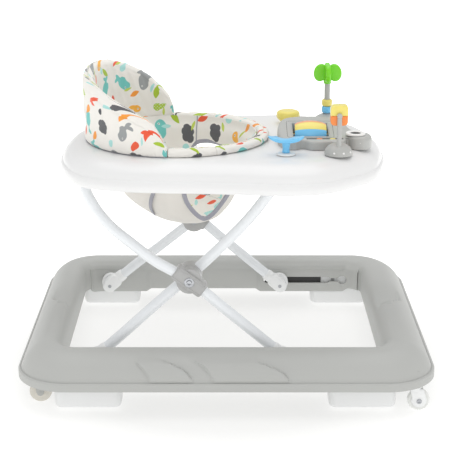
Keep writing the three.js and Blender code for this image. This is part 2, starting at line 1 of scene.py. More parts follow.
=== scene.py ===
"""Baby walker: the detailed pieces, materials, light and camera over the CAD frame.

Lengths in the building code are millimetres; meshes are stored in metres.
+X is the toy side, +Y the walker's left, +Z up, and the floor is z = 0.
"""

import math

import bmesh
import bpy
import numpy as np
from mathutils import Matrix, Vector


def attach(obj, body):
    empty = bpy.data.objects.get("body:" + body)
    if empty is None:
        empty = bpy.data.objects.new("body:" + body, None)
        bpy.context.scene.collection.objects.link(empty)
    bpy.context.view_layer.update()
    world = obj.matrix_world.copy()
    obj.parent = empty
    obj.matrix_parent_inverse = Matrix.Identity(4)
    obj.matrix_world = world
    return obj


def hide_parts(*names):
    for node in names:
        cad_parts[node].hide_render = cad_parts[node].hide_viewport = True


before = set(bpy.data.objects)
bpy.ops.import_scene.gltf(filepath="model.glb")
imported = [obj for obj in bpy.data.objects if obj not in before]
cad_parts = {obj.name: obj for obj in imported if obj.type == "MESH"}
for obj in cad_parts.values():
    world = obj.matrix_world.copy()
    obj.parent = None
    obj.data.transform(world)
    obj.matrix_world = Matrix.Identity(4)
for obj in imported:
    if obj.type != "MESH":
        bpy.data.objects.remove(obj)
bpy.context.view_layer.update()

SIDES = (("left", 1), ("right", -1))
PIVOT_REAR = (-226, 58)
SLIDER_REST = (104, 58)
HUB = (-61, 199)
TRAY_PIVOT = (-220, 372)
TRAY_SLIDER = (98, 372)
LEG_R = 9
LEG_Y = 186
WHEEL_Z = 18.31
SEAT_X = -85
SEAT_A, SEAT_B = 158, 151


# ---------------------------------------------------------------- mesh helpers
def smoothstep(x, a, b):
    t = np.clip((np.asarray(x, float) - a) / (b - a), 0, 1)
    return t * t * (3 - 2 * t)


def catmull(points, count, closed=False):
    """Evenly spaced points on a centripetal Catmull-Rom curve."""
    p = np.asarray(points, float)
    n = len(p)
    if closed:
        p = np.vstack([p[-1], p, p[0], p[1]])
        spans = n
    else:
        p = np.vstack([2 * p[0] - p[1], p, 2 * p[-1] - p[-2]])
        spans = n - 1
    fine = []
    for i in range(spans):
        a, b, c, d = p[i : i + 4]
        t0 = 0.0
        t1 = t0 + max(np.linalg.norm(b - a), 1e-6) ** 0.5
        t2 = t1 + max(np.linalg.norm(c - b), 1e-6) ** 0.5
        t3 = t2 + max(np.linalg.norm(d - c), 1e-6) ** 0.5
        t = np.linspace(t1, t2, 24, endpoint=False)[:, None]
        ab = (t1 - t) / (t1 - t0) * a + (t - t0) / (t1 - t0) * b
        bc = (t2 - t) / (t2 - t1) * b + (t - t1) / (t2 - t1) * c
        cd = (t3 - t) / (t3 - t2) * c + (t - t2) / (t3 - t2) * d
        abc = (t2 - t) / (t2 - t0) * ab + (t - t0) / (t2 - t0) * bc
        bcd = (t3 - t) / (t3 - t1) * bc + (t - t1) / (t3 - t1) * cd
        fine.append((t2 - t) / (t2 - t1) * abc + (t - t1) / (t2 - t1) * bcd)
    fine = np.vstack(fine + [p[1] if closed else p[-2]])
    along = np.concatenate([[0], np.cumsum(np.linalg.norm(np.diff(fine, axis=0), axis=1))])
    at = np.linspace(0, along[-1], count + 1)[:-1] if closed else np.linspace(0, along[-1], count)
    return np.column_stack([np.interp(at, along, fine[:, k]) for k in range(p.shape[1])])


def fillet(points, radius, steps=4):
    """Rounds the inner corners of an open line of (a, b) points."""
    p = [np.asarray(q, float) for q in points]
    out = [p[0]]
    for before, here, after in zip(p, p[1:], p[2:]):
        d0, d1 = before - here, after - here
        l0, l1 = np.linalg.norm(d0), np.linalg.norm(d1)
        r = min(radius, 0.45 * l0, 0.45 * l1)
        start, end = here + d0 / l0 * r, here + d1 / l1 * r
        for k in range(steps + 1):
            t = k / steps
            out.append((1 - t) ** 2 * start + 2 * t * (1 - t) * here + t * t * end)
    out.append(p[-1])
    return np.array(out)


def rounded_rectangle(x0, x1, y0, y1, r, per_corner=8):
    out = []
    for cx, cy, start in ((x1 - r, y1 - r, 0), (x0 + r, y1 - r, 90), (x0 + r, y0 + r, 180),
                          (x1 - r, y0 + r, 270)):
        for i in range(per_corner + 1):
            a = math.radians(start + 90 * i / per_corner)
            out.append((cx + r * math.cos(a), cy + r * math.sin(a)))
    return np.array(out)


def offset_loop(loop, d):
    """Moves a closed counter-clockwise loop inwards by d."""
    t = np.roll(loop, -1, axis=0) - np.roll(loop, 1, axis=0)
    t /= np.linalg.norm(t, axis=1)[:, None]
    return loop + d * np.column_stack([-t[:, 1], t[:, 0]])


def at_height(loop, z):
    return np.column_stack([loop, np.broadcast_to(z, len(loop))])


def skin(loops, closed_stack=False):
    """Vertices and faces of a surface through a stack of loops."""
    loops = np.asarray(loops, float)
    rows, cols = loops.shape[:2]
    verts = loops.reshape(-1, 3)
    faces = []
    for k in range(rows if closed_stack else rows - 1):
        a, b = k * cols, ((k + 1) % rows) * cols
        for i in range(cols):
            j = (i + 1) % cols
            faces.append((a + i, a + j, b + j, b + i))
    if not closed_stack:
        faces.append(tuple(range(cols))[::-1])
        faces.append(tuple((rows - 1) * cols + i for i in range(cols)))
    return verts, faces


def merged(*parts):
    verts, faces, base = [], [], 0
    for v, f in parts:
        verts.append(v)
        faces += [tuple(i + base for i in face) for face in f]
        base += len(v)
    return np.vstack(verts), faces


def turned(axis, centre, profile, segments=64):
    """Body of revolution about an axis through centre; profile is (radius, height) points."""
    profile = np.asarray(profile, float)
    a = np.linspace(0, 2 * math.pi, segments, endpoint=False)
    r, h = profile[:, 0][:, None], profile[:, 1][:, None]
    r = np.maximum(r, 0.01)
    u, v, w = r * np.cos(a), r * np.sin(a), h + 0 * a
    order = {"x": (w, u, v), "y": (v, w, u), "z": (u, v, w)}[axis]
    return skin(np.stack(order, axis=-1) + np.asarray(centre, float))


def sweep(points, section, closed=False, up=(0, 1, 0)):
    """Runs a closed (a, b) section along a path; a points along up, b across it."""
    p = np.asarray(points, float)
    if closed:
        t = np.roll(p, -1, axis=0) - np.roll(p, 1, axis=0)
    else:
        t = np.gradient(p, axis=0)
    t /= np.linalg.norm(t, axis=1)[:, None]
    n = np.broadcast_to(np.asarray(up, float), p.shape)
    n = n - (n * t).sum(1)[:, None] * t
    n /= np.linalg.norm(n, axis=1)[:, None]
    b = np.cross(t, n)
    s = np.asarray(section, float)
    loops = p[:, None] + s[None, :, :1] * n[:, None] + s[None, :, 1:] * b[:, None]
    return skin(loops, closed_stack=closed)


def disc_section(r, count=24):
    a = np.linspace(0, 2 * math.pi, count, endpoint=False)
    return np.column_stack([r * np.cos(a), r * np.sin(a)])


def slab(outline, z0, z1, edge=2.0, steps=4):
    """Flat plate on a counter-clockwise outline with rounded top and bottom edges."""
    loops = []
    for k in range(steps + 1):
        a = math.pi / 2 * k / steps
        loops.append(at_height(offset_loop(outline, edge * (1 - math.sin(a))),
                               z0 + edge * (1 - math.cos(a))))
    for k in range(steps + 1):
        a = math.pi / 2 * k / steps
        loops.append(at_height(offset_loop(outline, edge * (1 - math.cos(a))),
                               z1 - edge * (1 - math.sin(a))))
    return skin(loops)


def turned_to(part, axes, origin):
    """Places a part built at the origin so that its x, y, z run along axes."""
    v, f = part
    return v @ np.asarray(axes, float) + np.asarray(origin, float), f


def face_outwards(mesh):
    bm = bmesh.new()
    bm.from_mesh(mesh)
    bmesh.ops.recalc_face_normals(bm, faces=bm.faces)
    if bm.calc_volume(signed=True) < 0:
        bmesh.ops.reverse_faces(bm, faces=bm.faces)
    bm.to_mesh(mesh)
    bm.free()


def make(name, part, material, body, nodes=(), sharp=32, uv=None, face_slots=None):
    """A piece that rides on a CAD body and stands for the named CAD nodes."""
    verts, faces = part
    mesh = bpy.data.meshes.new(name)
    mesh.from_pydata((np.asarray(verts) / 1000).tolist(), [], faces)
    mesh.validate()
    face_outwards(mesh)
    mesh.shade_smooth()
    mesh.set_sharp_from_angle(angle=math.radians(sharp))
    obj = bpy.data.objects.new(name, mesh)
    bpy.context.scene.collection.objects.link(obj)
    for m in material if isinstance(material, (list, tuple)) else [material]:
        mesh.materials.append(m)
    if uv is not None:
        layer = mesh.uv_layers.new(name="cloth")
        index = np.empty(len(mesh.loops), dtype=np.int32)
        mesh.loops.foreach_get("vertex_index", index)
        layer.data.foreach_set("uv", (np.asarray(uv, float)[index] / 1000).ravel())
    if face_slots is not None:
        mesh.polygons.foreach_set("material_index", face_slots)
    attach(obj, body)
    if nodes:
        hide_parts(*nodes)
    return obj


def carve(obj, *tools):
    """Cuts the tool parts out of an object."""
    mesh = bpy.data.meshes.new("tool")
    v, f = merged(*tools)
    mesh.from_pydata((v / 1000).tolist(), [], f)
    face_outwards(mesh)
    tool = bpy.data.objects.new("tool", mesh)
    bpy.context.scene.collection.objects.link(tool)
    mod = obj.modifiers.new("cut", "BOOLEAN")
    mod.operation, mod.solver, mod.object = "DIFFERENCE", "MANIFOLD", tool
    graph = bpy.context.evaluated_depsgraph_get()
    done = bpy.data.meshes.new_from_object(obj.evaluated_get(graph))
    obj.modifiers.clear()
    done.set_sharp_from_angle(angle=math.radians(32))
    obj.data = done
    bpy.data.objects.remove(tool)


def crosswise(x, z, profile, s, segments=64):
    """Body turned about a cross axis; heights are given as y on the left side."""
    return turned("y", (x, 0, z), [(r, s * h) for r, h in profile], segments)


def upright(part, x=0, y=0, z=0, s=1):
    """Stands a flat plate on its edge, facing along y."""
    v, f = part
    return np.column_stack([x + v[:, 0], y + s * v[:, 2], z + v[:, 1]]), f


def span(s, near, far):
    """The y range between two distances on side s, low end first."""
    return sorted((s * near, s * far))


def box_part(x0, x1, y0, y1, z0, z1):
    loop = np.array([(x0, y0), (x1, y0), (x1, y1), (x0, y1)], float)
    return skin([at_height(loop, z0), at_height(loop, z1)])


# ---------------------------------------------------------------- materials
def linear(r, g, b):
    """Shader colour of an sRGB colour given from 0 to 255."""
    def one(c):
        c /= 255
        return c / 12.92 if c <= 0.04045 else ((c + 0.055) / 1.055) ** 2.4
    return one(r), one(g), one(b), 1.0


class Val:
    """A number flowing through a node tree, with arithmetic."""

    def __init__(self, tree, socket):
        self.tree, self.socket = tree, socket

    def op(self, kind, *others, clamp=False):
        node = self.tree.nodes.new("ShaderNodeMath")
        node.operation, node.use_clamp = kind, clamp
        for slot, value in zip(node.inputs, (self, *others)):
            if isinstance(value, Val):
                self.tree.links.new(value.socket, slot)
            else:
                slot.default_value = value
        return Val(self.tree, node.outputs[0])

    def __add__(self, o):
        return self.op("ADD", o)

    __radd__ = __add__

    def __sub__(self, o):
        return self.op("SUBTRACT", o)

    def __mul__(self, o):
        return self.op("MULTIPLY", o)

    __rmul__ = __mul__

    def __truediv__(self, o):
        return self.op("DIVIDE", o)

    def __neg__(self):
        return self.op("MULTIPLY", -1.0)

    def smaller(self, o):
        return self.op("MINIMUM", o)

    def larger(self, o):
        return self.op("MAXIMUM", o)

    def size(self):
        return self.op("ABSOLUTE")

    def below(self, edge, soft):
        """1 well under edge, 0 well over it."""
        return ((-self + edge) / soft).op("ADD", 0.5, clamp=True)


def length(x, y):
    return (x * x + y * y).op("SQRT")


class Shade:
    """A node material being built."""

    def __init__(self, name, **settings):
        self.material = bpy.data.materials.new(name)
        self.material.use_nodes = True
        self.tree = self.material.node_tree
        self.bsdf = self.tree.nodes["Principled BSDF"]
        for key, value in settings.items():
            self.bsdf.inputs[key.replace("_", " ")].default_value = value

    def feed(self, slot, value):
        if isinstance(value, Val):
            value = value.socket
        if isinstance(value, bpy.types.NodeSocket):
            self.tree.links.new(value, slot)
        else:
            slot.default_value = value

    def node(self, kind, **inputs):
        node = self.tree.nodes.new(kind)
        for key, value in inputs.items():
            self.feed(node.inputs[key.replace("_", " ")], value)
        return node

    def place(self):
        return self.node("ShaderNodeTexCoord").outputs["Object"]

    def noise(self, where, scale, detail=3.0, **more):
        node = self.node("ShaderNodeTexNoise", Vector=where, Scale=scale, Detail=detail, **more)
        return Val(self.tree, node.outputs["Fac"])

    def spread(self, value, low, high):
        """Maps 0..1 onto low..high."""
        return value * (high - low) + low

    def mix(self, fac, a, b):
        node = self.tree.nodes.new("ShaderNodeMix")
        node.data_type = "RGBA"
        for slot, value in ((0, fac), (6, a), (7, b)):
            self.feed(node.inputs[slot], value)
        return node.outputs[2]

    def bump(self, height, strength, distance):
        node = self.node("ShaderNodeBump", Strength=strength, Distance=distance, Height=height)
        self.tree.links.new(node.outputs["Normal"], self.bsdf.inputs["Normal"])

    def colour(self, socket):
        self.tree.links.new(socket, self.bsdf.inputs["Base Color"])

    def roughness(self, value):
        self.tree.links.new(value.socket, self.bsdf.inputs["Roughness"])


def darker(colour, k):
    return tuple(c * k for c in colour[:3]) + (1.0,)


def plastic(name, rgb, rough=0.42, grain=0.25, coat=0.0, through=0.0):
    """Moulded plastic: fine grain, slight unevenness of tone and gloss."""
    s = Shade(name, Roughness=rough, Coat_Weight=coat, Coat_Roughness=0.15)
    where = s.place()
    broad = s.noise(where, 9.0, 2.0)
    fine = s.noise(where, 900.0, 2.0)
    base = linear(*rgb)
    s.colour(s.mix(broad, base, darker(base, 0.955)))
    s.roughness(s.spread(broad * 0.6 + fine * 0.4, rough - 0.06, rough + 0.08))
    s.bump(fine, grain, 0.00012)
    if through:
        s.bsdf.inputs["Subsurface Weight"].default_value = through
        s.bsdf.inputs["Subsurface Radius"].default_value = (0.004, 0.004, 0.004)
    return s.material


def paint(name, rgb):
    """Powder coat on steel: glossy with a faint orange peel."""
    s = Shade(name, Roughness=0.25, Coat_Weight=0.5, Coat_Roughness=0.08)
    where = s.place()
    peel = s.noise(where, 420.0, 2.0)
    tone = s.noise(where, 14.0, 2.0)
    base = linear(*rgb)
    s.colour(s.mix(tone, base, darker(base, 0.97)))
    s.roughness(s.spread(tone, 0.2, 0.32))
    s.bump(peel, 0.12, 0.0001)
    return s.material


def metal(name, rgb):
    rough = 0.28
    s = Shade(name, Metallic=1.0, Roughness=rough)
    where = s.place()
    lines = s.noise(where, 700.0, 3.0)
    base = linear(*rgb)
    s.colour(s.mix(lines, base, darker(base, 0.8)))
    s.roughness(s.spread(lines, rough - 0.08, rough + 0.12))
    s.bump(lines, 0.1, 0.0001)
    return s.material


PRINT_THREAD, PLAIN_THREAD, TAPE_RIB = 0.0009, 0.0011, 0.0016


def weave(u, v, pitch):
    """Height of a plain weave with that thread pitch in metres."""
    k = 2 * math.pi / pitch
    a = (u * k).op("SINE")
    b = (v * k).op("SINE")
    return (a * b) * 0.5 + 0.5


def cloth_uv(s):
    node = s.node("ShaderNodeUVMap")
    node.uv_map = "cloth"
    parts = s.node("ShaderNodeSeparateXYZ", Vector=node.outputs[0])
    return Val(s.tree, parts.outputs[0]), Val(s.tree, parts.outputs[1])


def vector(s, x, y, z=0.0):
    return s.node("ShaderNodeCombineXYZ", X=x, Y=y, Z=z).outputs[0]


def random_of(s, x, y, seed):
    node = s.tree.nodes.new("ShaderNodeTexWhiteNoise")
    node.noise_dimensions = "3D"
    s.tree.links.new(vector(s, x, y, seed), node.inputs["Vector"])
    return Val(s.tree, node.outputs["Value"])


# Motif distances: x and y in millimetres about the motif's middle, negative inside.
def disc(x, y, cx, cy, r):
    return length(x - cx, y - cy) - r


def oval(x, y, cx, cy, a, b):
    return (length((x - cx) / a, (y - cy) / b) - 1.0) * min(a, b)


def leaf(x, y, half_length, half_width):
    r = (half_length**2 + half_width**2) / (2 * half_width)
    return disc(x, y, 0.0, r - half_width, r).larger(disc(x, y, 0.0, half_width - r, r))


def cloud(x, y):
    d = disc(x, y, -8.0, -1.0, 6.0)
    for cx, cy, r in ((8.0, -1.5, 5.5), (-3.0, 4.0, 6.5), (4.5, 3.5, 5.5), (0.0, -4.0, 6.5),
                      (5.0, -4.5, 4.5)):
        d = d.smaller(disc(x, y, cx, cy, r))
    return d


def fish(x, y):
    body = oval(x, y, 3.5, 0.0, 14.5, 10.0).larger(-oval(x, y, 8.0, -15.5, 17.0, 7.5))
    tail = oval(x, y, -15.0, 6.0, 3.0, 6.0).smaller(oval(x, y, -17.5, 1.0, 5.0, 2.8))
    return body.smaller(tail).smaller(oval(x, y, -10.5, 2.0, 6.5, 3.4))


def beaked(x, y):
    head = disc(x, y, 3.5, 2.0, 7.0)
    wing = leaf(x + y * 0.5 + 4.0, y - x * 0.35 + 2.0, 12.0, 4.5)
    return head.smaller(wing)


def long_neck(x, y):
    body = oval(x, y, -3.5, -3.0, 12.0, 7.0)
    neck = oval(x, y, 7.5, 5.0, 3.2, 12.0).smaller(oval(x, y, 10.5, 14.0, 6.0, 3.2))
    legs = oval(x, y, -11.0, -11.5, 2.2, 7.0).smaller(oval(x, y, 3.0, -11.5, 2.2, 7.0))
    return body.smaller(neck).smaller(legs)


def flame(x, y):
    a = leaf(x + y * 0.3, y - x * 0.3, 13.0, 4.6)
    b = leaf(x * 0.7 - y * 0.7 - 2.0, x * 0.7 + y * 0.7 + 4.0, 9.0, 3.4)
    return a.smaller(b)


def printed_cloth(name):
    """Off-white woven cotton with scattered printed shapes, each about 25 mm long."""
    s = Shade(name, Roughness=0.88, Sheen_Weight=0.25, Sheen_Roughness=0.5)
    u, v = cloth_uv(s)
    wobble = s.noise(vector(s, u, v), 160.0, 2.0)
    colour = s.mix(s.noise(vector(s, u, v), 30.0), linear(245, 242, 236), linear(239, 236, 230))
    grids = (
        (46.0, 0.0, 1.0, (
            (fish, (156, 159, 160), "eye"),
            (cloud, (88, 90, 94), None),
            (long_neck, (166, 222, 216), "dots"),
            (beaked, (252, 184, 72), "eye"),
            (flame, (240, 94, 62), None),
            (fish, (116, 202, 196), "eye"),
            (cloud, (96, 97, 100), None),
            (beaked, (178, 206, 70), "dots"),
        )),
        (46.0, 23.0, 0.5, (
            (lambda x, y: leaf(x, y, 13.0, 3.4), (188, 208, 76), None),
            (lambda x, y: oval(x, y, 0.0, 0.0, 4.2, 6.0), (70, 72, 76), None),
            (lambda x, y: leaf(x, y, 12.0, 4.2), (172, 200, 60), None),
            (lambda x, y: disc(x, y, 0.0, 0.0, 6.0), (174, 226, 222), None),
            (lambda x, y: leaf(x, y, 10.0, 4.6), (248, 160, 64), None),
            (lambda x, y: leaf(x, y, 9.0, 4.2), (238, 96, 64), None),
        )),
        (46.0, 11.5, 0.5, (
            (lambda x, y: leaf(x, y, 8.0, 3.0), (176, 226, 222), None),
            (lambda x, y: disc(x, y, 0.0, 0.0, 0.1), (240, 236, 229), None),
            (lambda x, y: leaf(x, y, 8.0, 2.4), (196, 214, 96), None),
        )),
    )
    for seed, (cell, shift, turn, kinds) in enumerate(grids):
        gu = u * (1000 / cell) + (shift / cell + wobble * 0.02)
        gv = v * (1000 / cell) + (shift / cell * 0.9)
        row = gv.op("FLOOR")
        gu = gu + row.op("MULTIPLY", 0.5).op("FRACT")
        column = gu.op("FLOOR")
        pick = random_of(s, column, row, 3.7 + seed)
        angle = random_of(s, column, row, 11.3 + seed) * (2 * math.pi * turn)
        x = (gu.op("FRACT") - 0.5 + (random_of(s, column, row, 21.1 + seed) - 0.5) * 0.16) * cell
        y = (gv.op("FRACT") - 0.5 + (random_of(s, column, row, 31.9 + seed) - 0.5) * 0.16) * cell
        c, n = angle.op("COSINE"), angle.op("SINE")
        x, y = x * c + y * n + (wobble - 0.5) * 1.6, y * c - x * n
        for k, (shape, rgb, extra) in enumerate(kinds):
            here = (pick - (k + 0.5) / len(kinds)).size().below(0.5 / len(kinds), 0.0001)
            inside = shape(x, y).below(0.0, 0.5) * here
            ink = linear(*rgb)
            if extra == "dots":
                dx = (x / 4.2).op("FRACT") - 0.5
                dy = (y / 4.2).op("FRACT") - 0.5
                ink = s.mix(length(dx, dy).below(0.17, 0.08), ink, linear(225, 243, 240))
            colour = s.mix(inside, colour, ink)
            if extra == "eye":
                eye = disc(x, y, 11.0 if shape is fish else 5.0, 3.0, 0.0)
                colour = s.mix(eye.below(1.7, 0.4) * here, colour, linear(245, 244, 240))
                colour = s.mix(eye.below(0.8, 0.4) * here, colour, linear(50, 50, 54))
    s.colour(colour)
    thread = weave(u, v, PRINT_THREAD)
    slub = s.noise(vector(s, u * 0.3, v), 500.0, 2.0)
    crease = s.noise(vector(s, u, v), 28.0, 3.0)
    s.roughness(s.spread(thread * 0.5 + slub * 0.5, 0.78, 0.95))
    s.bump(thread * 0.16 + slub * 0.14 + crease * 1.3, 0.5, 0.0016)
    return s.material


def plain_cloth(name, rgb, ribbed=False):
    """One-colour cotton; the ribbed kind is woven tape."""
    s = Shade(name, Roughness=0.9, Sheen_Weight=0.3, Sheen_Roughness=0.5)
    u, v = cloth_uv(s)
    tone = s.noise(vector(s, u, v), 40.0)
    base = linear(*rgb)
    s.colour(s.mix(tone, base, darker(base, 0.93)))
    thread = (u * (2 * math.pi / TAPE_RIB)).op("SINE") * 0.5 + 0.5 if ribbed else weave(u, v, PLAIN_THREAD)
    crease = s.noise(vector(s, u, v), 26.0, 3.0)
    s.roughness(s.spread(thread, 0.8, 0.95))
    s.bump(thread * 0.2 + crease * (0.2 if ribbed else 1.4), 0.5, 0.0016)
    return s.material


BASE_GREY = plastic("base_grey", (189, 190, 187), 0.46, 0.35)
WHITE = plastic("white_plastic", (246, 247, 247), 0.36, 0.2, 0.15)
TRAY_WHITE = plastic("tray_white", (237, 237, 237), 0.34, 0.15, 0.2)
TUBE_WHITE = paint("tube_white", (240, 243, 246))
HUB_GREY = plastic("hub_grey", (178, 178, 177), 0.36, 0.25, 0.15)
WHEEL_BEIGE = plastic("wheel_beige", (226, 222, 212), 0.6, 0.4)
WHEEL_CLEAR = plastic("wheel_clear", (240, 241, 238), 0.3, 0.1, 0.2, 0.5)
METAL = metal("bright_metal", (190, 192, 196))
# Dark grey plastic. It is the dial's own dark centre, and elsewhere it is painted shade in the base slots,
# the drum groove, the drum well and the bead slot.
DARK_AND_SHADE = plastic("dark_plastic_and_painted_shade", (62, 62, 62), 0.6, 0.3)
TOY_GREY = plastic("toy_grey", (184, 185, 182), 0.4, 0.25, 0.1)
TOY_WHITE = plastic("toy_white", (246, 246, 244), 0.35, 0.15, 0.2)
TOY_YELLOW = plastic("toy_yellow", (243, 226, 118), 0.34, 0.15, 0.3)
TOY_ORANGE = plastic("toy_orange", (250, 142, 62), 0.34, 0.15, 0.3)
TOY_SALMON = plastic("toy_salmon", (249, 166, 122), 0.34, 0.15, 0.3)
TOY_BLUE = plastic("toy_blue", (120, 204, 250), 0.32, 0.15, 0.3)
TOY_GREEN = plastic("toy_green", (118, 218, 8), 0.32, 0.15, 0.3)
PRINT = printed_cloth("printed_cotton")
LINEN = plain_cloth("plain_cotton", (232, 228, 221))
BINDING = plain_cloth("binding_tape", (160, 160, 170), ribbed=True)


# ---------------------------------------------------------------- base ring
BASE_X, BASE_Y, BASE_R = 345, 292, 85
OPEN_REAR, OPEN_FRONT, OPEN_Y, OPEN_R = -274, 262, 213, 30
SHOULDER = [
    (0.905, 66), (0.86, 72), (0.8, 78.5), (0.73, 84.2), (0.65, 89.3), (0.57, 93.4), (0.5, 96), (0.43, 97.8),
    (0.36, 98.9), (0.29, 99.2), (0.22, 98.5), (0.15, 96.5), (0.09, 93), (0.045, 88), (0.015, 82), (0.002,
                                                                                                   76),
]
POCKETS = ((-270, -146), (56, 240))


def rounded_run(x0, x1, half_y, r, step):
    """Rounded rectangle whose straight runs are cut into the same counts for any size."""
    corner = np.linspace(0, 90, 25)
    centres = ((x1 - r, half_y - r, 0), (x0 + r, half_y - r, 90), (x0 + r, r - half_y, 180),
               (x1 - r, r - half_y, 270))
    out = []
    for k, (cx, cy, start) in enumerate(centres):
        a = np.radians(start + corner)
        out.append(np.column_stack([cx + r * np.cos(a), cy + r * np.sin(a)]))
        nx, ny, nstart = centres[(k + 1) % 4]
        b = math.radians(nstart)
        end = np.array([nx + r * math.cos(b), ny + r * math.sin(b)])
        count = (220, 170)[k % 2] // step
        t = np.linspace(0, 1, count + 1)[1:-1][:, None]
        out.append(out[-1][-1] * (1 - t) + end * t)
    return np.vstack(out)


def base_section():
    """Closed (t, z) section: t is 1 on the outer edge and 0 on the inner wall."""
    flange = fillet([(0.955, 52), (0.955, 46), (1, 46), (1, 58.4), (0.96, 60.2), (0.943, 58.8),
                     (0.928, 62)], 1.1, 3)[1:]
    flange[:, 0] = np.where(flange[:, 0] > 1, 1, flange[:, 0])
    dome = catmull(SHOULDER, 34)
    wall = [(0, z) for z in (72, 68, 64, 60, 56, 52, 48, 45, 43)]
    under = [(0.006, 42), (0.03, 41.6), (0.05, 43), (0.05, 60), (0.06, 80), (0.16, 91), (0.31, 94.3),
             (0.55, 88), (0.72, 78),
             (0.86, 63), (0.945, 55)]
    return np.vstack([flange, dome, wall, under])


def ridge(points):
    """x of a curved step on the side faces as a function of height."""
    line = catmull(points, 60)
    order = np.argsort(line[:, 1])
    return lambda z: np.interp(z, line[order, 1], line[order, 0])


SWOOSHES = (
    (ridge([(-146, 87), (-131, 74), (-119, 57)]), ridge([(-112, 92), (-68, 76.5), (-49, 57)])),
    (ridge([(-66, 94), (-34.5, 79), (-17, 57)]), ridge([(52, 87), (90, 73.5), (108, 57)])),
)


def facet(x, y, end_x, width, far, crease_slope, depth):
    """Scooped hollow on an end member: a soft far arc and a sharp near crease."""
    across = (x - end_x) / width
    near = -18 + crease_slope * (x - end_x)
    t = (y - near) / (far - near)
    inside = (1 - smoothstep(np.abs(across), 0.72, 1.0)) * smoothstep(t, -0.012,
            0.012) * (1 - smoothstep(t, 0.05, 1.0))
    return depth * inside


def base_ring():
    outer = rounded_run(-BASE_X, BASE_X, BASE_Y, BASE_R, 1)
    inner = rounded_run(OPEN_REAR, OPEN_FRONT, OPEN_Y, OPEN_R, 1)
    section = base_section()
    t, z = section[:, 0][:, None], section[:, 1][:, None]
    x = inner[:, 0] * (1 - t) + outer[:, 0] * t
    y = inner[:, 1] * (1 - t) + outer[:, 1] * t
    z = z + 0 * x
    side = (np.abs(y) > 205) & (np.abs(x) < 255)
    for left, right in SWOOSHES:
        raised = smoothstep(x - left(z), -2, 2) - smoothstep(x - right(z), -1.3, 1.3)
        fade = smoothstep(z, 59.5, 64.5) * (1 - smoothstep(z, 82, 95.5))
        lift = np.where(side & (t > 0.4) & (t < 0.945), 5.0 * np.clip(raised, 0, 1) * fade, 0)
        y = y + np.sign(y) * lift * 0.75
        z = z + lift * 0.6
    top = (z > 80) & (np.abs(y) < 150)
    rear = facet(x, y, -292, 24, 76, -1.16, 5.0) * top * smoothstep(t, 0.05, 0.2)
    front = facet(x, y, 288, 32, 100, 1.16, 6.5) * top * smoothstep(t, 0.05, 0.2)
    z = z - rear - front
    wall = (t < 0.055) & (z < 92) & (np.abs(y) > 200) & (np.abs(x) < 265)
    pocket = sum(smoothstep(x, a, a + 12) * (1 - smoothstep(x, b - 12, b)) for a, b in POCKETS)
    inward = np.where(wall,
                      (1 - pocket) * 4.5 * (1 - smoothstep(z, 78, 90)) + pocket * 1.6 * smoothstep(z, 79,
                                                                                                   81), 0)
    y = y - np.sign(y) * inward
    lip = np.where(wall & (z < 50), pocket * 8 * (1 - smoothstep(z, 41, 50)), 0)
    z = z - lip
    part = skin(np.stack([x, y, z], axis=-1), closed_stack=True)
    obj = make("base_ring_shell", part, BASE_GREY, "base", ["base_ring"], sharp=38)
    tools = []
    for _, s in SIDES:
        y0, y1 = span(s, 200, 226)
        tools.append(box_part(80, 198, y0, y1, 51.6, 64.4))
        for x0, z0, r in ((80, 58, 6.4), (198, 58, 6.4), (228, 58, 8.5), (*PIVOT_REAR, 6.4)):
            tools.append(turned("y", (x0, 0, z0), [(0, y0), (r, y0), (r, y1), (0, y1)], 48))
        tools.append(box_part(197, 226, y0, y1, 54.5, 61.5))
    for tool in tools:
        carve(obj, tool)
    for side_name, s in SIDES:
        # Painted shade: a dark plate just inside each slot of the base stands for the shade inside the
        # enclosed base.
        shade_plate = box_part(76, 186, *span(s, 219.5, 221), 48, 68)
        make(f"slot_painted_shade_{side_name}", shade_plate, DARK_AND_SHADE, "base")
        for x0, x1 in ((187.5, 207), (213, 236)):
            catch = box_part(x0, x1, *span(s, 222, 223.5), 47, 69)
            make(f"slot_catch_{int(x0)}_{side_name}", catch, WHITE, "base")
        for x0, y0, top_z, node in ((306, s * 256, 69, "caster"), (-308, s * 222, 86, "rear")):
            boss = turned("z", (x0, y0, 0), [(4.8, 46), (8, 46), (8, top_z), (4.8, top_z)], 32)
            make(f"{node}_boss_{side_name}", boss, BASE_GREY, "base")


def stoppers():
    for side, s in SIDES:
        for end, x0 in (("front", 167), ("rear", -281)):
            x1 = x0 + 110
            plan = rounded_rectangle(x0, x1, s * 243 - 23.5, s * 243 + 23.5, 13)
            rows = []
            for z, inset in ((6, 6), (6.4, 3.6), (7.6, 1.9), (9.6, 0.8), (13, 0.2), (20, 0), (45.4, 0)):
                rows.append(at_height(offset_loop(plan, inset), z))
            neck = slab(rounded_rectangle(x0 + 20, x1 - 20, *span(s, 234, 254), 4), 45.2, 84, 1)
            part = merged(skin(rows), neck)
            make(f"stopper_block_{end}_{side}", part, WHITE, "base", [f"stopper_{end}_{side}"])


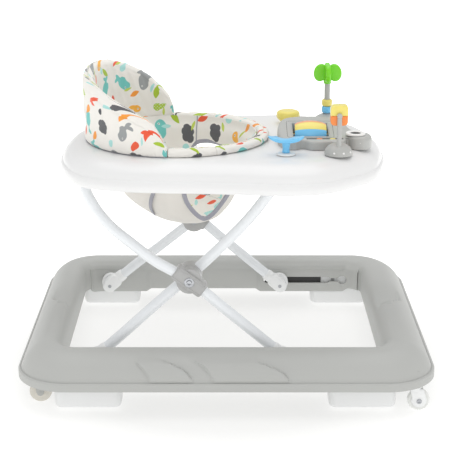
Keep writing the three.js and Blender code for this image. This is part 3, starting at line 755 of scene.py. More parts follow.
# ---------------------------------------------------------------- wheels
def wheels():
    for side, s in SIDES:
        cx, cy = 306, s * 256
        wx = cx + 8
        hub = turned("y", (wx, cy, WHEEL_Z),
                     fillet([(0, -5.4), (13.4, -5.4), (14, 0), (13.4, 5.4), (0, 5.4)], 1.2))
        tyre = turned("y", (wx, cy, WHEEL_Z),
                      fillet([(13.0, -6), (16.5, -6), (18.3, -3.4), (18.3, 3.4), (16.5, 6), (13.0, 6)],
                             1.6))
        make(f"front_wheel_hub_{side}", hub, WHITE, f"front_wheel_{side}", [f"caster_wheel_{side}"])
        make(f"front_wheel_tyre_{side}", tyre, WHEEL_CLEAR, f"front_wheel_{side}")
        parts = [turned("z", (cx, cy, 0),
                        fillet([(0, 37.8), (11, 37.8), (13, 40), (13, 42.4), (4, 42.4), (4, 65), (0, 65)],
                               0.8))]
        for k in (-1, 1):
            y0 = min(cy + k * 6.8, cy + k * 10.2)
            dome = [(0, 0), (11.2, 0), (12.6, 0.9), (12.2, 1.8), (9.5, 2.6), (5, 3.3), (0, 3.4)]
            face = [(r, cy + k * (6.8 + h)) for r, h in dome]
            parts.append(turned("y", (wx, 0, WHEEL_Z + 0.8), face if k > 0 else face[::-1]))
            web = np.array([(wx - 11, WHEEL_Z + 4), (wx + 11, WHEEL_Z + 4), (wx + 7, 39.5),
                            (wx - 16, 39.5)])
            parts.append(upright(slab(web, 0, 2.6, 0.5, 2), y=y0 + 0.2))
        make(f"caster_cover_{side}", merged(*parts), WHITE, f"caster_{side}", [f"caster_fork_{side}"])
        for k in (-1, 1):
            y0 = cy + k * 9.9
            rows = [(0, 0), (4.2, 0), (4.4, 0.9), (3.4, 1.7), (1.9, 1.9), (1.7, 1.0), (0, 1.0)]
            head = [(r, y0 + k * h) for r, h in rows]
            name = f"caster_axle_head_{side}" if k < 0 else f"caster_axle_tip_{side}"
            make(name, turned("y", (wx, 0, WHEEL_Z), head), METAL, f"caster_{side}")
        shaft = turned("y", (wx, cy, WHEEL_Z), [(0, -9.8), (3, -9.8), (3, 9.8), (0, 9.8)], 32)
        make(f"caster_axle_shaft_{side}", shaft, METAL, f"caster_{side}", [f"caster_axle_{side}"])
        rx, ry = -308, s * 222
        roller = fillet([(0, -6), (9, -6), (9.6, -5), (14, -5.2), (18.3, -4.4), (18.5, 0), (18.3, 4.4),
                         (14, 5.2), (9.6, 5), (9, 6), (0, 6)], 1.4)
        make(f"rear_wheel_tread_{side}", turned("y", (rx, ry, WHEEL_Z), roller), WHEEL_BEIGE,
             f"back_wheel_{side}",
             [f"rear_wheel_{side}"])
        parts = [turned("z", (rx, ry, 0),
                        fillet([(0, 38), (11, 38), (13, 40), (13, 42.6), (4, 42.6), (4, 72), (0, 72)],
                               0.8))]
        for k in (-1, 1):
            y0 = min(ry + k * 6.8, ry + k * 9.4)
            ear = np.array([(rx - 7.5, 40), (rx - 6.5, WHEEL_Z), (rx - 4, WHEEL_Z - 5), (rx, WHEEL_Z - 7),
                            (rx + 4, WHEEL_Z - 5), (rx + 6.5, WHEEL_Z), (rx + 7.5, 40)])
            parts.append(upright(slab(ear, 0, 2.6, 0.6, 2), y=y0))
        pin = [(0, ry - 10), (2.9, ry - 9.6), (2.9, ry + 9.6), (0, ry + 10)]
        parts.append(turned("y", (rx, 0, WHEEL_Z), pin, 24))
        make(f"rear_wheel_fork_{side}", merged(*parts), BASE_GREY, "base", [f"rear_wheel_bracket_{side}"])


# ---------------------------------------------------------------- folding frame
def inner_path(s):
    return catmull([
        (PIVOT_REAR[0] + 12, s * LEG_Y, PIVOT_REAR[1] + 10.3), (-176, s * 182, 100.7), (-118, s * 168,
                                                                                        150.3),
        (-61, s * 160, 199), (-14, s * 158, 243), (36, s * 153, 294), (72, s * 147, 339),
        (TRAY_SLIDER[0] - 4, s * 142, TRAY_SLIDER[1] - 6)], 90)


def outer_path(s):
    return catmull([
        (SLIDER_REST[0] - 12, s * LEG_Y, SLIDER_REST[1] + 10.3), (50, s * LEG_Y, 104.1), (-5, s * LEG_Y,
                                                                                          151.2),
        (-61, s * LEG_Y, 199), (-118, s * 182, 232), (-156, s * 173, 259), (-192, s * 161, 286), (-218,
                s * 148, 315),
        (-232, s * 139, 344), (TRAY_PIVOT[0] - 3, s * 137, TRAY_PIVOT[1] - 5)], 110)


def leg(name, path, eye, eye_y, body, node):
    tube = sweep(path, disc_section(LEG_R, 32))
    boss = turned("y", (eye[0], eye_y, eye[1]), fillet([(0, -9), (11.5, -9), (11.5, 9), (0, 9)], 1.2))
    make(name, merged(tube, boss), TUBE_WHITE, body, [node])


def capsule(length_back, length_front, r):
    """Tongue outline with round ends; x runs along the leg."""
    a = np.linspace(-math.pi / 2, math.pi / 2, 14)
    front = np.column_stack([length_front - r + r * np.cos(a), r * np.sin(a)])
    back = np.column_stack([-length_back + r - r * np.cos(a), -r * np.sin(a)])
    return np.vstack([front, back])


def leg_end(side, s, centre, path, body, cap_node, pin_node, label):
    """White tongue over the flattened end of a leg, its collar, rivet and wall spacer."""
    x, z = centre
    direction = np.array([path[9][0] - path[0][0], 0, path[9][2] - path[0][2]])
    direction /= np.linalg.norm(direction)
    across = np.array([direction[2], 0, -direction[0]])
    tongue = slab(capsule(14, 27, 12.6), -10.5, 10.5, 3.5, 5)
    plate = turned_to(tongue, (direction, across, (0, -s, 0)), (x, s * LEG_Y, z))
    collar_path = np.array([np.array([x, s * LEG_Y, z]) + direction * d for d in np.linspace(20, 36, 8)])
    swell = [1.0, 1.12, 1.16, 1.16, 1.16, 1.16, 1.1, 1.0]
    v, f = sweep(collar_path, disc_section(9.6, 32))
    v = v.reshape(8, 32, 3)
    v = (collar_path[:, None] + (v - collar_path[:, None]) * np.array(swell)[:, None, None]).reshape(-1, 3)
    make(f"{label}_end_{side}", merged(plate, (v, f)), WHITE, body, [cap_node])
    spacer = fillet([(0, 197), (4, 197), (4, 200), (17, 200), (17, 209), (15, 212.4), (5.6, 212.4),
                     (5.6, 217.6), (10, 217.6), (10, 221.4), (0, 221.4)], 0.8, 3)
    pin_body = "base" if label == "inner_leg" else body
    make(f"{label}_wall_disc_{side}", crosswise(x, z, spacer, s), WHITE, pin_body, [pin_node])
    for k, name in ((-1, "rivet"), (1, "rivet_tail")):
        face = LEG_Y + k * 10.5
        head = [(0, face - k * 1), (3.3, face - k * 1), (3.3, face + k * 0.5), (2.5, face + k * 1.0),
                (1.3, face + k * 1.0),
                (1.1, face + k * 0.3), (0, face + k * 0.3)]
        make(f"{label}_{name}_{side}", crosswise(x, z, head, s, 32), METAL, body)


def hub(side, s):
    x, z = HUB
    tilt = math.radians(36.5)
    along = np.array([math.cos(tilt), 0, -math.sin(tilt)])
    across = np.array([math.sin(tilt), 0, math.cos(tilt)])
    block = slab(rounded_rectangle(-29, 29, -13, 13, 4.5), 0, 24.6, 3.4, 3)
    clamp = turned_to(block, (along, across, (0, s, 0)), (x, s * 173.6, z))
    rim = crosswise(x, z, fillet([(0, 173.6), (21.5, 173.6), (21.5, 193), (0, 193)], 1.6), s)
    lips = []
    for k in (-1, 1):
        lip = slab(rounded_rectangle(-28, 28, k * 8.6 - 1.1, k * 8.6 + 1.1, 1.0, 4), 0, 25.4, 0.7, 2)
        lips.append(turned_to(lip, (along, across, (0, s, 0)), (x, s * 173.6, z)))
    make(f"hub_clamp_block_{side}", merged(clamp, rim, *lips), HUB_GREY, "outer_frame",
         [f"hub_clamp_{side}"])
    saddle = fillet([(0, 148), (21.5, 148), (21.5, 172.8), (0, 172.8)], 2.2)
    make(f"hub_saddle_disc_{side}", crosswise(x, z, saddle, s), HUB_GREY, "inner_frame",
         [f"hub_saddle_{side}"])
    face = 198.6
    head = [(0, face - 3), (5.6, face - 3), (8.4, face - 0.4), (8.4, face + 0.4), (7.6, face + 1),
            (5.2, face + 1.2), (5.0, face + 4.2),
            (4.3, face + 5), (2.9, face + 5), (2.6, face + 1.6), (0, face + 1.6)]
    washer = crosswise(x, z, head, s)
    nut = crosswise(x, z, [(0, 144.4), (7, 144.4), (8, 145.4), (8, 148.4), (0, 148.4)], s, 6)
    make(f"hub_bolt_head_{side}", merged(washer, nut), METAL, "outer_frame", [f"hub_bolt_{side}"])


def folding_frame():
    for side, s in SIDES:
        inner, outer = inner_path(s), outer_path(s)
        leg(f"inner_leg_tube_{side}", inner, TRAY_SLIDER, s * 142, "inner_frame", f"inner_leg_{side}")
        leg(f"outer_leg_tube_{side}", outer, TRAY_PIVOT, s * 137, "outer_frame", f"outer_leg_{side}")
        leg_end(side, s, PIVOT_REAR, inner, "inner_frame", f"inner_leg_cap_{side}", f"pivot_pin_{side}",
                "inner_leg")
        leg_end(side, s, SLIDER_REST, outer, "outer_frame", f"outer_leg_cap_{side}", f"slider_pin_{side}",
                "outer_leg")
        hub(side, s)
    for name, (x, z), reach, body in (("inner_cross_tube", TRAY_SLIDER, 142, "inner_frame"),
                                      ("outer_cross_tube", TRAY_PIVOT, 137, "outer_frame")):
        bar = fillet([(0, -reach - 8.5), (4, -reach - 8.5), (4, 9.6 - reach), (8, 9.6 - reach),
                      (8, reach - 9.6),
                      (4, reach - 9.6), (4, reach + 8.5), (0, reach + 8.5)], 0.6, 2)
        make(f"{name}_bar", turned("y", (x, 0, z), bar), TUBE_WHITE, body, [name])


# ---------------------------------------------------------------- tray
TRAY_HALF = [
    (-287, 0), (-277, 86), (-240, 164), (-185, 193), (-120, 203), (-40, 208), (40, 216), (105, 222), (160,
                                                                                                      209),
    (208, 172), (246, 130), (266, 72), (274, 0),
]
TRAY_SKIN = [
    (5.6, 352.6), (4.6, 352), (3, 352), (1.2, 353.2), (0.2, 355.5), (0, 358.5), (0.2, 362), (1.2,
            366), (2.6, 368.8),
    (3.6, 369.8), (4.6, 370.3), (5.2, 371), (5.6, 372.4), (7, 376), (9.4, 380.2), (13, 384.2), (17.5,
            387.6), (23, 390.6),
    (30, 393.4), (36, 395.1), (42, 396.3),
]
TRAY_LINING = [(42, 391), (31, 388), (21, 382.5), (14, 375), (9.5, 367), (6.4, 361)]


def tray_outline():
    mirrored = [(x, -y) for x, y in TRAY_HALF[1:-1]][::-1]
    return catmull(TRAY_HALF + mirrored, 300, closed=True)[::-1]


def seat_loop(outline, a, b):
    angle = np.arctan2(outline[:, 1] / b, (outline[:, 0] - SEAT_X) / a)
    return np.column_stack([SEAT_X + a * np.cos(angle), b * np.sin(angle)])


def tray():
    outline = tray_outline()
    rows = [at_height(offset_loop(outline, d), z) for d, z in TRAY_SKIN]
    edge = offset_loop(outline, 42)
    hole = seat_loop(outline, 144, 138)
    for t, z in ((0.2, 396.8), (0.5, 397), (0.8, 397), (1, 397)):
        rows.append(at_height(edge * (1 - t) + hole * t, z))
    rows += [at_height(seat_loop(outline, 141, 135), 396.2), at_height(seat_loop(outline, 140, 134), 394.5),
             at_height(seat_loop(outline, 140, 134), 391)]
    rows += [at_height(offset_loop(outline, d), z) for d, z in TRAY_LINING]
    obj = make("tray_top", skin(rows, closed_stack=True), TRAY_WHITE, "tray", ["tray_shell"], sharp=50)
    carve(obj, box_part(110, 175, -74, -18, 380, 405))


EDGE_BREAK = 0.0008


def soften(node, material):
    """Keeps a CAD node as it is, with its edges broken and a real finish."""
    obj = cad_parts[node]
    obj.data.materials.clear()
    obj.data.materials.append(material)
    mod = obj.modifiers.new("edges", "BEVEL")
    mod.width, mod.segments = EDGE_BREAK, 2
    mod.limit_method, mod.angle_limit = "ANGLE", math.radians(38)
    mod.harden_normals = True


def tray_fittings():
    for side, _ in SIDES:
        soften(f"tray_bracket_{side}", WHITE)
        soften(f"slide_guide_{side}", WHITE)
    soften("height_lock_bracket", WHITE)
    soften("height_lock_lever", HUB_GREY)


# ---------------------------------------------------------------- seat
def ring_point(angle, inward, z):
    x = SEAT_X + (SEAT_A - inward) * np.cos(angle)
    y = (SEAT_B - inward) * np.sin(angle)
    return np.stack([x, y, z + 0 * x], axis=-1)


def padded_wall(name, angles, section_at, node, held):
    """Soft closed wall around the seat: columns follow the angle, rows the section."""
    loops, uvs = [], []
    radius = (SEAT_A + SEAT_B) / 2
    for angle in angles:
        sec = section_at(angle)
        loops.append(ring_point(angle, sec[:, 0], sec[:, 1]))
        inner = smoothstep(sec[:, 0], 4, 14)
        uvs.append(np.column_stack([angle * (radius - sec[:, 0]) + 530 * np.round(inner),
                                    sec[:, 1] + 0.6 * sec[:, 0]]))
    obj = make(name, skin(loops), PRINT, "tray", [node], sharp=70, uv=np.vstack(uvs))
    settle(obj, held)
    return obj


PAD_SLACK, PAD_PRESSURE, PAD_SHIFT, PAD_FRAMES = 0.05, 1.2, 0.0024, 16


def settle(obj, held):
    """Lets a slightly oversized cover buckle over its filling; held points stay where they are."""
    rest = np.array([v.co for v in obj.data.vertices])
    group = obj.vertex_groups.new(name="held")
    group.add([int(i) for i in np.flatnonzero(held(rest * 1000))], 1.0, "REPLACE")
    cloth = obj.modifiers.new("settle", "CLOTH").settings
    cloth.quality, cloth.mass = 5, 0.2
    cloth.tension_stiffness, cloth.compression_stiffness, cloth.shear_stiffness = 20, 20, 5
    cloth.bending_stiffness = 0.35
    cloth.vertex_group_mass = "held"
    cloth.use_pressure, cloth.uniform_pressure_force = True, PAD_PRESSURE
    cloth.shrink_min = -PAD_SLACK
    cloth.effector_weights.gravity = 0
    scene = bpy.context.scene
    for frame_number in range(1, PAD_FRAMES + 1):
        scene.frame_set(frame_number)
    graph = bpy.context.evaluated_depsgraph_get()
    moved = np.array([v.co for v in obj.evaluated_get(graph).data.vertices])
    obj.modifiers.clear()
    obj.vertex_groups.clear()
    scene.frame_set(1)
    shift = moved - rest
    far = np.linalg.norm(shift, axis=1, keepdims=True)
    obj.data.vertices.foreach_set("co", (rest + shift * PAD_SHIFT / (PAD_SHIFT + far)).ravel())
    obj.data.update()


def seam_dip(u, seams, depth, reach):
    """How far the cover is drawn in at its seams, u running 0 to 1 along the pad."""
    return sum(depth * math.exp(-(((u - s) / reach) ** 2)) for s in seams)


RING_SEAMS = (0.0, 0.16, 0.5, 0.84, 1.0)
RING_END = math.pi - 1.506
BACK_HALF = 1.495
PAD_FOOT = 397.9
RISE_FOOT = 397.7


def ring_section(angle):
    u = (angle + RING_END) / (2 * RING_END)
    size = 1.0 + 0.02 * math.sin(angle * 23) + 0.015 * math.sin(angle * 41 + 1.3) - seam_dip(u, RING_SEAMS,
                                                                                             0.1, 0.006)
    base = [(2, PAD_FOOT), (0.2, 400.5), (0, 404.5), (2, 408.6), (6.5, 411), (13.5, 411), (18, 408.6),
            (20, 404.5), (19.8, 400.5), (18, PAD_FOOT)]
    line = [(10 + (x - 10) * size, PAD_FOOT + (z - PAD_FOOT) * size) for x, z in base]
    return catmull(line, 36, closed=True)


BACK_RISE = [
    (-85.7, 15), (-84.5, 21), (-82.5, 34), (-78, 51), (-73, 62), (-65, 71), (-59, 77), (-50, 85), (-43,
            91), (-32, 99),
    (-15, 110), (0, 118), (12, 123), (23, 124), (35, 122), (51, 110), (63, 95), (70, 82), (78, 62), (83,
            46), (85, 32), (85.7, 22),
]


def back_rise(angle):
    """Height of the backrest edge above the ring's foot; it stands fuller on the walker's left."""
    turn, rise = np.array(BACK_RISE, float).T
    return float(np.interp(math.degrees(math.pi - angle), turn, rise))


def back_section(angle):
    """Thin padded wall: flat at the foot, a rounded top edge and a slight swell between."""
    rise = back_rise(angle)
    top = RISE_FOOT + rise
    swell = min(rise / 60, 1) * 1.6
    low, high = RISE_FOOT + 0.3 * rise, RISE_FOOT + 0.6 * rise
    line = [
        (1.6, PAD_FOOT), (0.1, 399.5), (-0.3 * swell, low), (-0.5 * swell, high), (0.2, top - 7),
        (3.2, top - 2), (9, top), (14.8, top - 2), (17.8, top - 7), (18 + swell, high),
        (18 + swell, low), (17.9, 399.5), (16.4, PAD_FOOT),
    ]
    sec = catmull(line, 110, closed=True)
    up = sec[:, 1] - RISE_FOOT
    wave = 0.55 * np.sin(up * 0.13 + angle * 7) + 0.45 * np.sin(angle * 29 + up * 0.06)
    wave = wave + 0.3 * np.sin(angle * 53 - up * 0.11)
    soft = smoothstep(up, 3, 18) * smoothstep(rise - up, 0, 10)
    seam = 1.1 * np.exp(-(((up - (rise - 13)) / 1.1) ** 2)) if rise > 40 else 0
    inside = np.where(sec[:, 0] > 9, -1, 1)
    sec[:, 0] = sec[:, 0] + wave * soft * 0.8 + seam * inside * smoothstep(rise, 40, 55)
    return sec


def around(points):
    """Angle about the seat's middle for points in millimetres."""
    return np.arctan2(points[:, 1] / SEAT_B, (points[:, 0] - SEAT_X) / SEAT_A)


def ring_held(points):
    u = (around(points) + RING_END) / (2 * RING_END)
    seams = np.min([np.abs(u - s) for s in RING_SEAMS], axis=0) < 0.002
    return seams | (points[:, 2] < 399.5)


def back_held(points):
    turn = math.pi - np.abs(around(points))
    return (turn > 1.485) | (points[:, 2] < 400)


def seat_pads():
    padded_wall("seat_ring_roll", np.linspace(-RING_END, RING_END, 170), ring_section, "seat_ring_pad",
                ring_held)
    padded_wall("seat_back_cushion", np.linspace(math.pi - BACK_HALF, math.pi + BACK_HALF, 190),
                back_section, "seat_back_pad", back_held)
    sweep_angles = np.linspace(math.pi - BACK_HALF, math.pi + BACK_HALF, 160)
    tape("seat_back_piping", np.array([ring_point(a, 0.1, 398.1) for a in sweep_angles]),
         disc_section(0.45, 10), "tray")
    for side, s in SIDES:
        for k, u in enumerate((0.0, 0.16)):
            a = (u * 2 * RING_END - RING_END) * s
            line = catmull(ring_section(a), 40, closed=True)
            path = np.array([ring_point(a, 10 + (x - 10) * 1.02, z) for x, z in line])
            tape(f"seat_ring_seam_{k}_{side}", path, disc_section(0.45, 8), "tray", closed=True,
                 material=LINEN, up=(math.sin(a), -math.cos(a), 0.01))


def tape_uv(path, cols, width):
    """Cloth coordinates of a tape in millimetres: length along u, width across v."""
    along = np.concatenate([[0], np.cumsum(np.linalg.norm(np.diff(path, axis=0), axis=1))])
    return np.column_stack([np.repeat(along, cols), np.tile(np.linspace(0, width, cols), len(path))])


def tape(name, path, section, body, closed=False, material=None, up=(0, 0, 1)):
    """Binding or piping along a path, with its length along u."""
    v, f = sweep(path, section, closed=closed, up=up)
    return make(name, (v, f), material or BINDING, body, sharp=60, uv=tape_uv(path, len(section), 10))


BAG = [(407, -85, 137.4, 130.4), (396.6, -85, 135, 129), (384, -84, 126.5, 124.5), (360, -84, 123, 121),
       (330, -82, 112, 114),
       (302, -80, 98, 104), (276, -72, 76, 88), (259, -64, 50, 62), (252.5, -58, 24, 30), (251, -56, 6, 8)]
LEG_HOLE = (-27, 100, 318)
LEG_HOLE_TURN = 18
LEG_HOLE_SHAPE = [
    (45, 16), (43, 29), (32, 38), (12, 42), (-12, 43), (-32, 38), (-44, 20), (-40, -2), (-27, -23), (-10,
            -40), (0, -45),
    (8, -41), (24, -24), (38, -4),
]


def bag_point(depth, angle, inset=0.0):
    """Point on the hanging bag; depth is 0 at the ring and 1 at the bottom."""
    levels = BAG_LINE
    k = depth * (len(levels) - 1)
    i = min(int(k), len(levels) - 2)
    z, cx, a, b = levels[i] * (1 - (k - i)) + levels[i + 1] * (k - i)
    fold = 1 + 0.012 * math.sin(angle * 11 + depth * 3) * min(depth * 3, 1)
    a, b = (a - inset) * fold, (b - inset) * fold
    return np.array([cx + a * math.cos(angle), b * math.sin(angle),
                     z + (inset * 0.8 if depth > 0.6 else 0)])


BAG_LINE = catmull(BAG, 90)


def leg_hole_axes(s):
    """Middle, axis and level direction of the leg opening on side s."""
    a = math.radians(-s * LEG_HOLE_TURN)
    axis = np.array([-math.sin(a), math.cos(a), 0])
    x, y, z = LEG_HOLE
    return np.array([x, s * y, z]), axis, np.array([axis[1], -axis[0], 0])


def leg_hole_outline(s, count):
    """Opening seen along its axis: wide and level above, drawn to a soft point below."""
    centre, _, level = leg_hole_axes(s)
    shape = catmull(LEG_HOLE_SHAPE, count, closed=True)
    return centre + shape[:, :1] * level + shape[:, 1:] * np.array([0, 0, 1])


def hole_edge(s):
    """Closed line where the leg opening meets the bag."""
    _, axis, _ = leg_hole_axes(s)
    line = []
    for start in leg_hole_outline(s, 160):
        low, high = -60 * s, 80 * s
        for _ in range(40):
            mid = (low + high) / 2
            if bag_outside(start + axis * mid) > 0:
                high = mid
            else:
                low = mid
        line.append(start + axis * (low + high) / 2)
    return np.array(line)


def bag_outside(p):
    """Positive outside the bag at the height of p."""
    z = min(max(p[2], 251), 407)
    order = BAG_LINE[::-1]
    cx, a, b = (np.interp(z, order[:, 0], order[:, k]) for k in (1, 2, 3))
    return ((p[0] - cx) / a) ** 2 + (p[1] / b) ** 2 - 1


def sling():
    cols, rows = 150, 80
    angles = np.linspace(0, 2 * math.pi, cols, endpoint=False)
    depths = np.linspace(0, 0.985, rows)
    outer = [[bag_point(d, a) for a in angles] for d in depths]
    inner = [[bag_point(d, a, 1.4) for a in angles] for d in depths[::-1]]
    verts, faces = skin(np.array(outer + inner), closed_stack=True)
    angle_mm = np.tile(angles * 110, 2 * rows)
    down = np.repeat(np.concatenate([depths, depths[::-1]]) * 190, cols)
    slots = np.array([0 if max(f) < rows * cols else 1 for f in faces])
    obj = make("seat_sling_cloth", (verts, faces), [LINEN, PRINT], "tray", ["seat_sling"], sharp=80,
               uv=np.where(down[:, None] > 118, verts[:, :2],
                           np.column_stack([angle_mm, down])), face_slots=slots)
    for _, s in SIDES:
        _, axis, _ = leg_hole_axes(s)
        outline = leg_hole_outline(s, 96)
        carve(obj, skin([outline - axis * 60, outline + axis * 60]))
    section = [(3.4, 1.8), (3.8, 0), (3.4, -1.8), (-3.4, -1.8), (-3.8, 0), (-3.4, 1.8)]
    for side, s in SIDES:
        binding_along(f"leg_hole_binding_{side}", hole_edge(s), section)
        strip = np.array([bag_point(d, s * (math.pi - 1.618 + 1.29 * d)) for d in np.linspace(0.2, 0.56,
                                                                                              40)])
        out = strip - np.array([SEAT_X, 0, 330])
        strip = strip + out / np.linalg.norm(out, axis=1)[:, None] * 0.9
        flat = [(1.2, 4.2), (1.2, -4.2), (-0.6, -4.2), (-0.6, 4.2)]
        tape(f"sling_strip_{side}", strip, flat, "tray", up=(-0.75, s * 0.65, 0))
        seam = np.array([bag_point(d, s * 1.33, 1.9) for d in np.linspace(0.0, 0.3, 30)])
        tape(f"sling_seam_{side}", seam, disc_section(0.9, 10), "tray", up=(0, s, 0))
    return obj


def binding_along(name, path, section):
    """Folded tape over a leg opening's edge, lying in the surface of the bag."""
    centre = path.mean(axis=0)
    t = np.roll(path, -1, axis=0) - np.roll(path, 1, axis=0)
    t /= np.linalg.norm(t, axis=1)[:, None]
    out = path - centre
    out -= (out * t).sum(1)[:, None] * t
    out /= np.linalg.norm(out, axis=1)[:, None]
    b = np.cross(t, out)
    sec = np.asarray(section, float)
    inward = np.array([SEAT_X, 0, 0]) - path
    inward[:, 2] = 0
    inward /= np.linalg.norm(inward, axis=1)[:, None]
    shifted = path + out * 2.2 + inward * 0.7
    loops = shifted[:, None] + sec[None, :, :1] * out[:, None] + sec[None, :, 1:] * b[:, None]
    return make(name, skin(loops, closed_stack=True), BINDING, "tray", sharp=60,
                uv=tape_uv(path, len(sec), 12))


# ---------------------------------------------------------------- toys
PANEL = [
    (88, -25), (89, -62), (99, -91), (114, -98), (128, -88), (141, -98), (160, -99), (172, -96), (184,
                                                                                                  -98.5),
    (196, -95), (203, -82), (214, -95), (231, -96), (243, -80), (243, -60), (232, -45), (216, -36), (208,
                                                                                                     -18),
    (199, 10), (172, 23), (130, 24), (100, 10),
]
DRUM = (-46, 411)
BEADS = (-82.6, 411.2)


def panel_top(x, y):
    rise = smoothstep(y, -97, 12)
    head = smoothstep(x, 196, 216)
    return 413 + 16 * rise * (1 - head) + 5 * head


def toy_panel():
    ring = catmull(PANEL, 220, closed=True)
    if np.sum(ring[:, 0] * np.roll(ring[:, 1], -1) - np.roll(ring[:, 0], -1) * ring[:, 1]) < 0:
        ring = ring[::-1]
    centre = np.array([156, -36])
    rows = []
    for k, f in ((1, 0), (1, 0.4), (1, 0.7), (0.995, 0.82), (0.98, 0.91), (0.96, 0.96), (0.93, 0.99),
                 (0.9, 1),
                 (0.75, 1), (0.6, 1), (0.45, 1), (0.3, 1), (0.15, 1), (0.03, 1)):
        loop = (ring - centre) * k + centre
        rows.append(at_height(loop, 397.6 + (panel_top(loop[:, 0], loop[:, 1]) - 397.6) * f))
    obj = make("toy_panel_body", skin(rows), TOY_GREY, "tray", ["toy_panel"], sharp=45)
    carve(obj, box_part(112.5, 172.5, -72, -20, 380, 450))
    carve(obj, box_part(134, 196, BEADS[0] - 3.3, BEADS[0] + 3.3, 403, 450))
    carve(obj, turned("z", (184, -6, 0), [(0, 423.2), (5.1, 423.2), (5.1, 450), (0, 450)], 32))
    frame_line("drum_bezel", rounded_rectangle(110.5, 174.5, -74, -18, 3), 0.8, TOY_GREY)
    # Painted shade: a thin dark line round the drum opening stands for the shade in the groove there.
    frame_line("drum_groove_shade", rounded_rectangle(103, 181, -77, -10, 5), 0.3, DARK_AND_SHADE)
    # Painted shade: a dark plate at the bottom of the drum's well stands for the shade inside it.
    well_shade_plate = box_part(112.9, 172.1, -71.6, -20.4, 399, 400)
    make("drum_well_painted_shade", well_shade_plate, DARK_AND_SHADE, "tray")
    # Painted shade: dark plates on the floor and one wall of the narrow bead slot stand for the shade
    # inside it.
    make("bead_slot_shade_floor", box_part(134.4, 195.6, BEADS[0] - 3, BEADS[0] + 3, 403.2, 404), DARK_AND_SHADE, "tray")
    make("bead_slot_shade_wall", box_part(134.4, 195.6, BEADS[0] + 2.6, BEADS[0] + 3.1, 404, 412.6), DARK_AND_SHADE,
         "tray")
    rod = turned("x", (165, *BEADS), [(0, -33), (1.2, -33), (1.2, 33), (0, 33)], 16)
    make("bead_rod", rod, METAL, "tray")
    for name, x, mat in (("orange", 156, TOY_ORANGE), ("yellow", 178, TOY_YELLOW)):
        ball = turned("x", (x, *BEADS),
                      fillet([(1.7, -5), (2, -5), (3.1, -3), (3.1, 3), (2, 5), (1.7, 5)], 0.8), 32)
        make(f"slot_bead_{name}", ball, mat, f"bead_{'a' if name == 'orange' else 'b'}", [f"bead_{name}"])


def frame_line(name, plan, r, material):
    """Thin bead that follows the sloping top of the panel."""
    dense = catmull(plan, 240, closed=True)
    path = at_height(dense, panel_top(dense[:, 0], dense[:, 1]) - 0.1)
    v, f = sweep(path, disc_section(r, 10), closed=True, up=(0, 0, 1))
    make(name, (v, f), material, "tray")


def drum():
    profile = catmull([(19, -26.5), (20.6, -23.5), (22, -20), (24.1, -10), (24.8, 0), (24.1, 10), (22, 20),
                       (20.6, 23.5), (19, 26.5)], 30)
    profile = np.vstack([[(0, -31.5), (3, -31.5), (3, -26.5), (18.4, -26.5)], profile,
                         [(18.4, 26.5), (3, 26.5), (3, 31.5), (0, 31.5)]])
    part = turned("x", (142.5, *DRUM), profile, 144)
    slots = []
    for face in part[1]:
        mid = part[0][list(face)].mean(axis=0)
        angle = math.degrees(math.atan2(mid[2] - DRUM[1], mid[1] - DRUM[0]))
        slots.append(int(((angle - 62) % 120) // 40))
    make("rainbow_drum", part, [TOY_SALMON, TOY_YELLOW, TOY_BLUE], "drum", ["toy_drum"], face_slots=slots,
         sharp=40)


def dots():
    """White moulded dots on the panel's front face and the tumbler's foot."""
    places = [(113, -96.6, 405), (150, -98.6, 405.5), (190, -97.6, 408), (223, -96.4, 409)]
    for k, (x, y, z) in enumerate(places):
        dot = turned("y", (x, y, z), [(0, -0.9), (1.1, -0.7), (1.8, 0), (1.8, 1.4), (0, 1.4)], 24)
        make(f"panel_dot_{k}", dot, TOY_WHITE, "tray")
    for k, angle in enumerate((-112, -72, -35)):
        a = math.radians(angle)
        x, y = 184 + 22.2 * math.cos(a), -127 + 22.2 * math.sin(a)
        dot = turned("z", (x, y, 404.2), [(0, -1.6), (1.4, -1.2), (1.9, 0), (1.4, 1.2), (0, 1.6)], 24)
        make(f"tumbler_dot_{k}", dot, TOY_WHITE, "tray")


def dial_and_button():
    ring = fillet([(0, 419.6), (8.8, 419.6), (9.8, 421.6), (15.4, 422.2), (16.6, 421), (16.6, 418.4),
                   (0, 418.4)], 0.7, 3)
    make("dial_ring", turned("z", (217, -72, 0), ring), TOY_WHITE, "tray", ["panel_dial"])
    make("dial_centre", turned("z", (217, -72, 0), [(0, 419.4), (8.9, 419.4), (8.9, 420.5), (0, 420.9)]),
         DARK_AND_SHADE, "tray")
    cap = fillet([(0, 425.8), (4.6, 425.8), (4.6, 430.4), (3.4, 431.8), (0, 431.8)], 0.9)
    make("button_cap", turned("z", (184, -6, 0), cap), TOY_WHITE, "button", ["panel_button"])


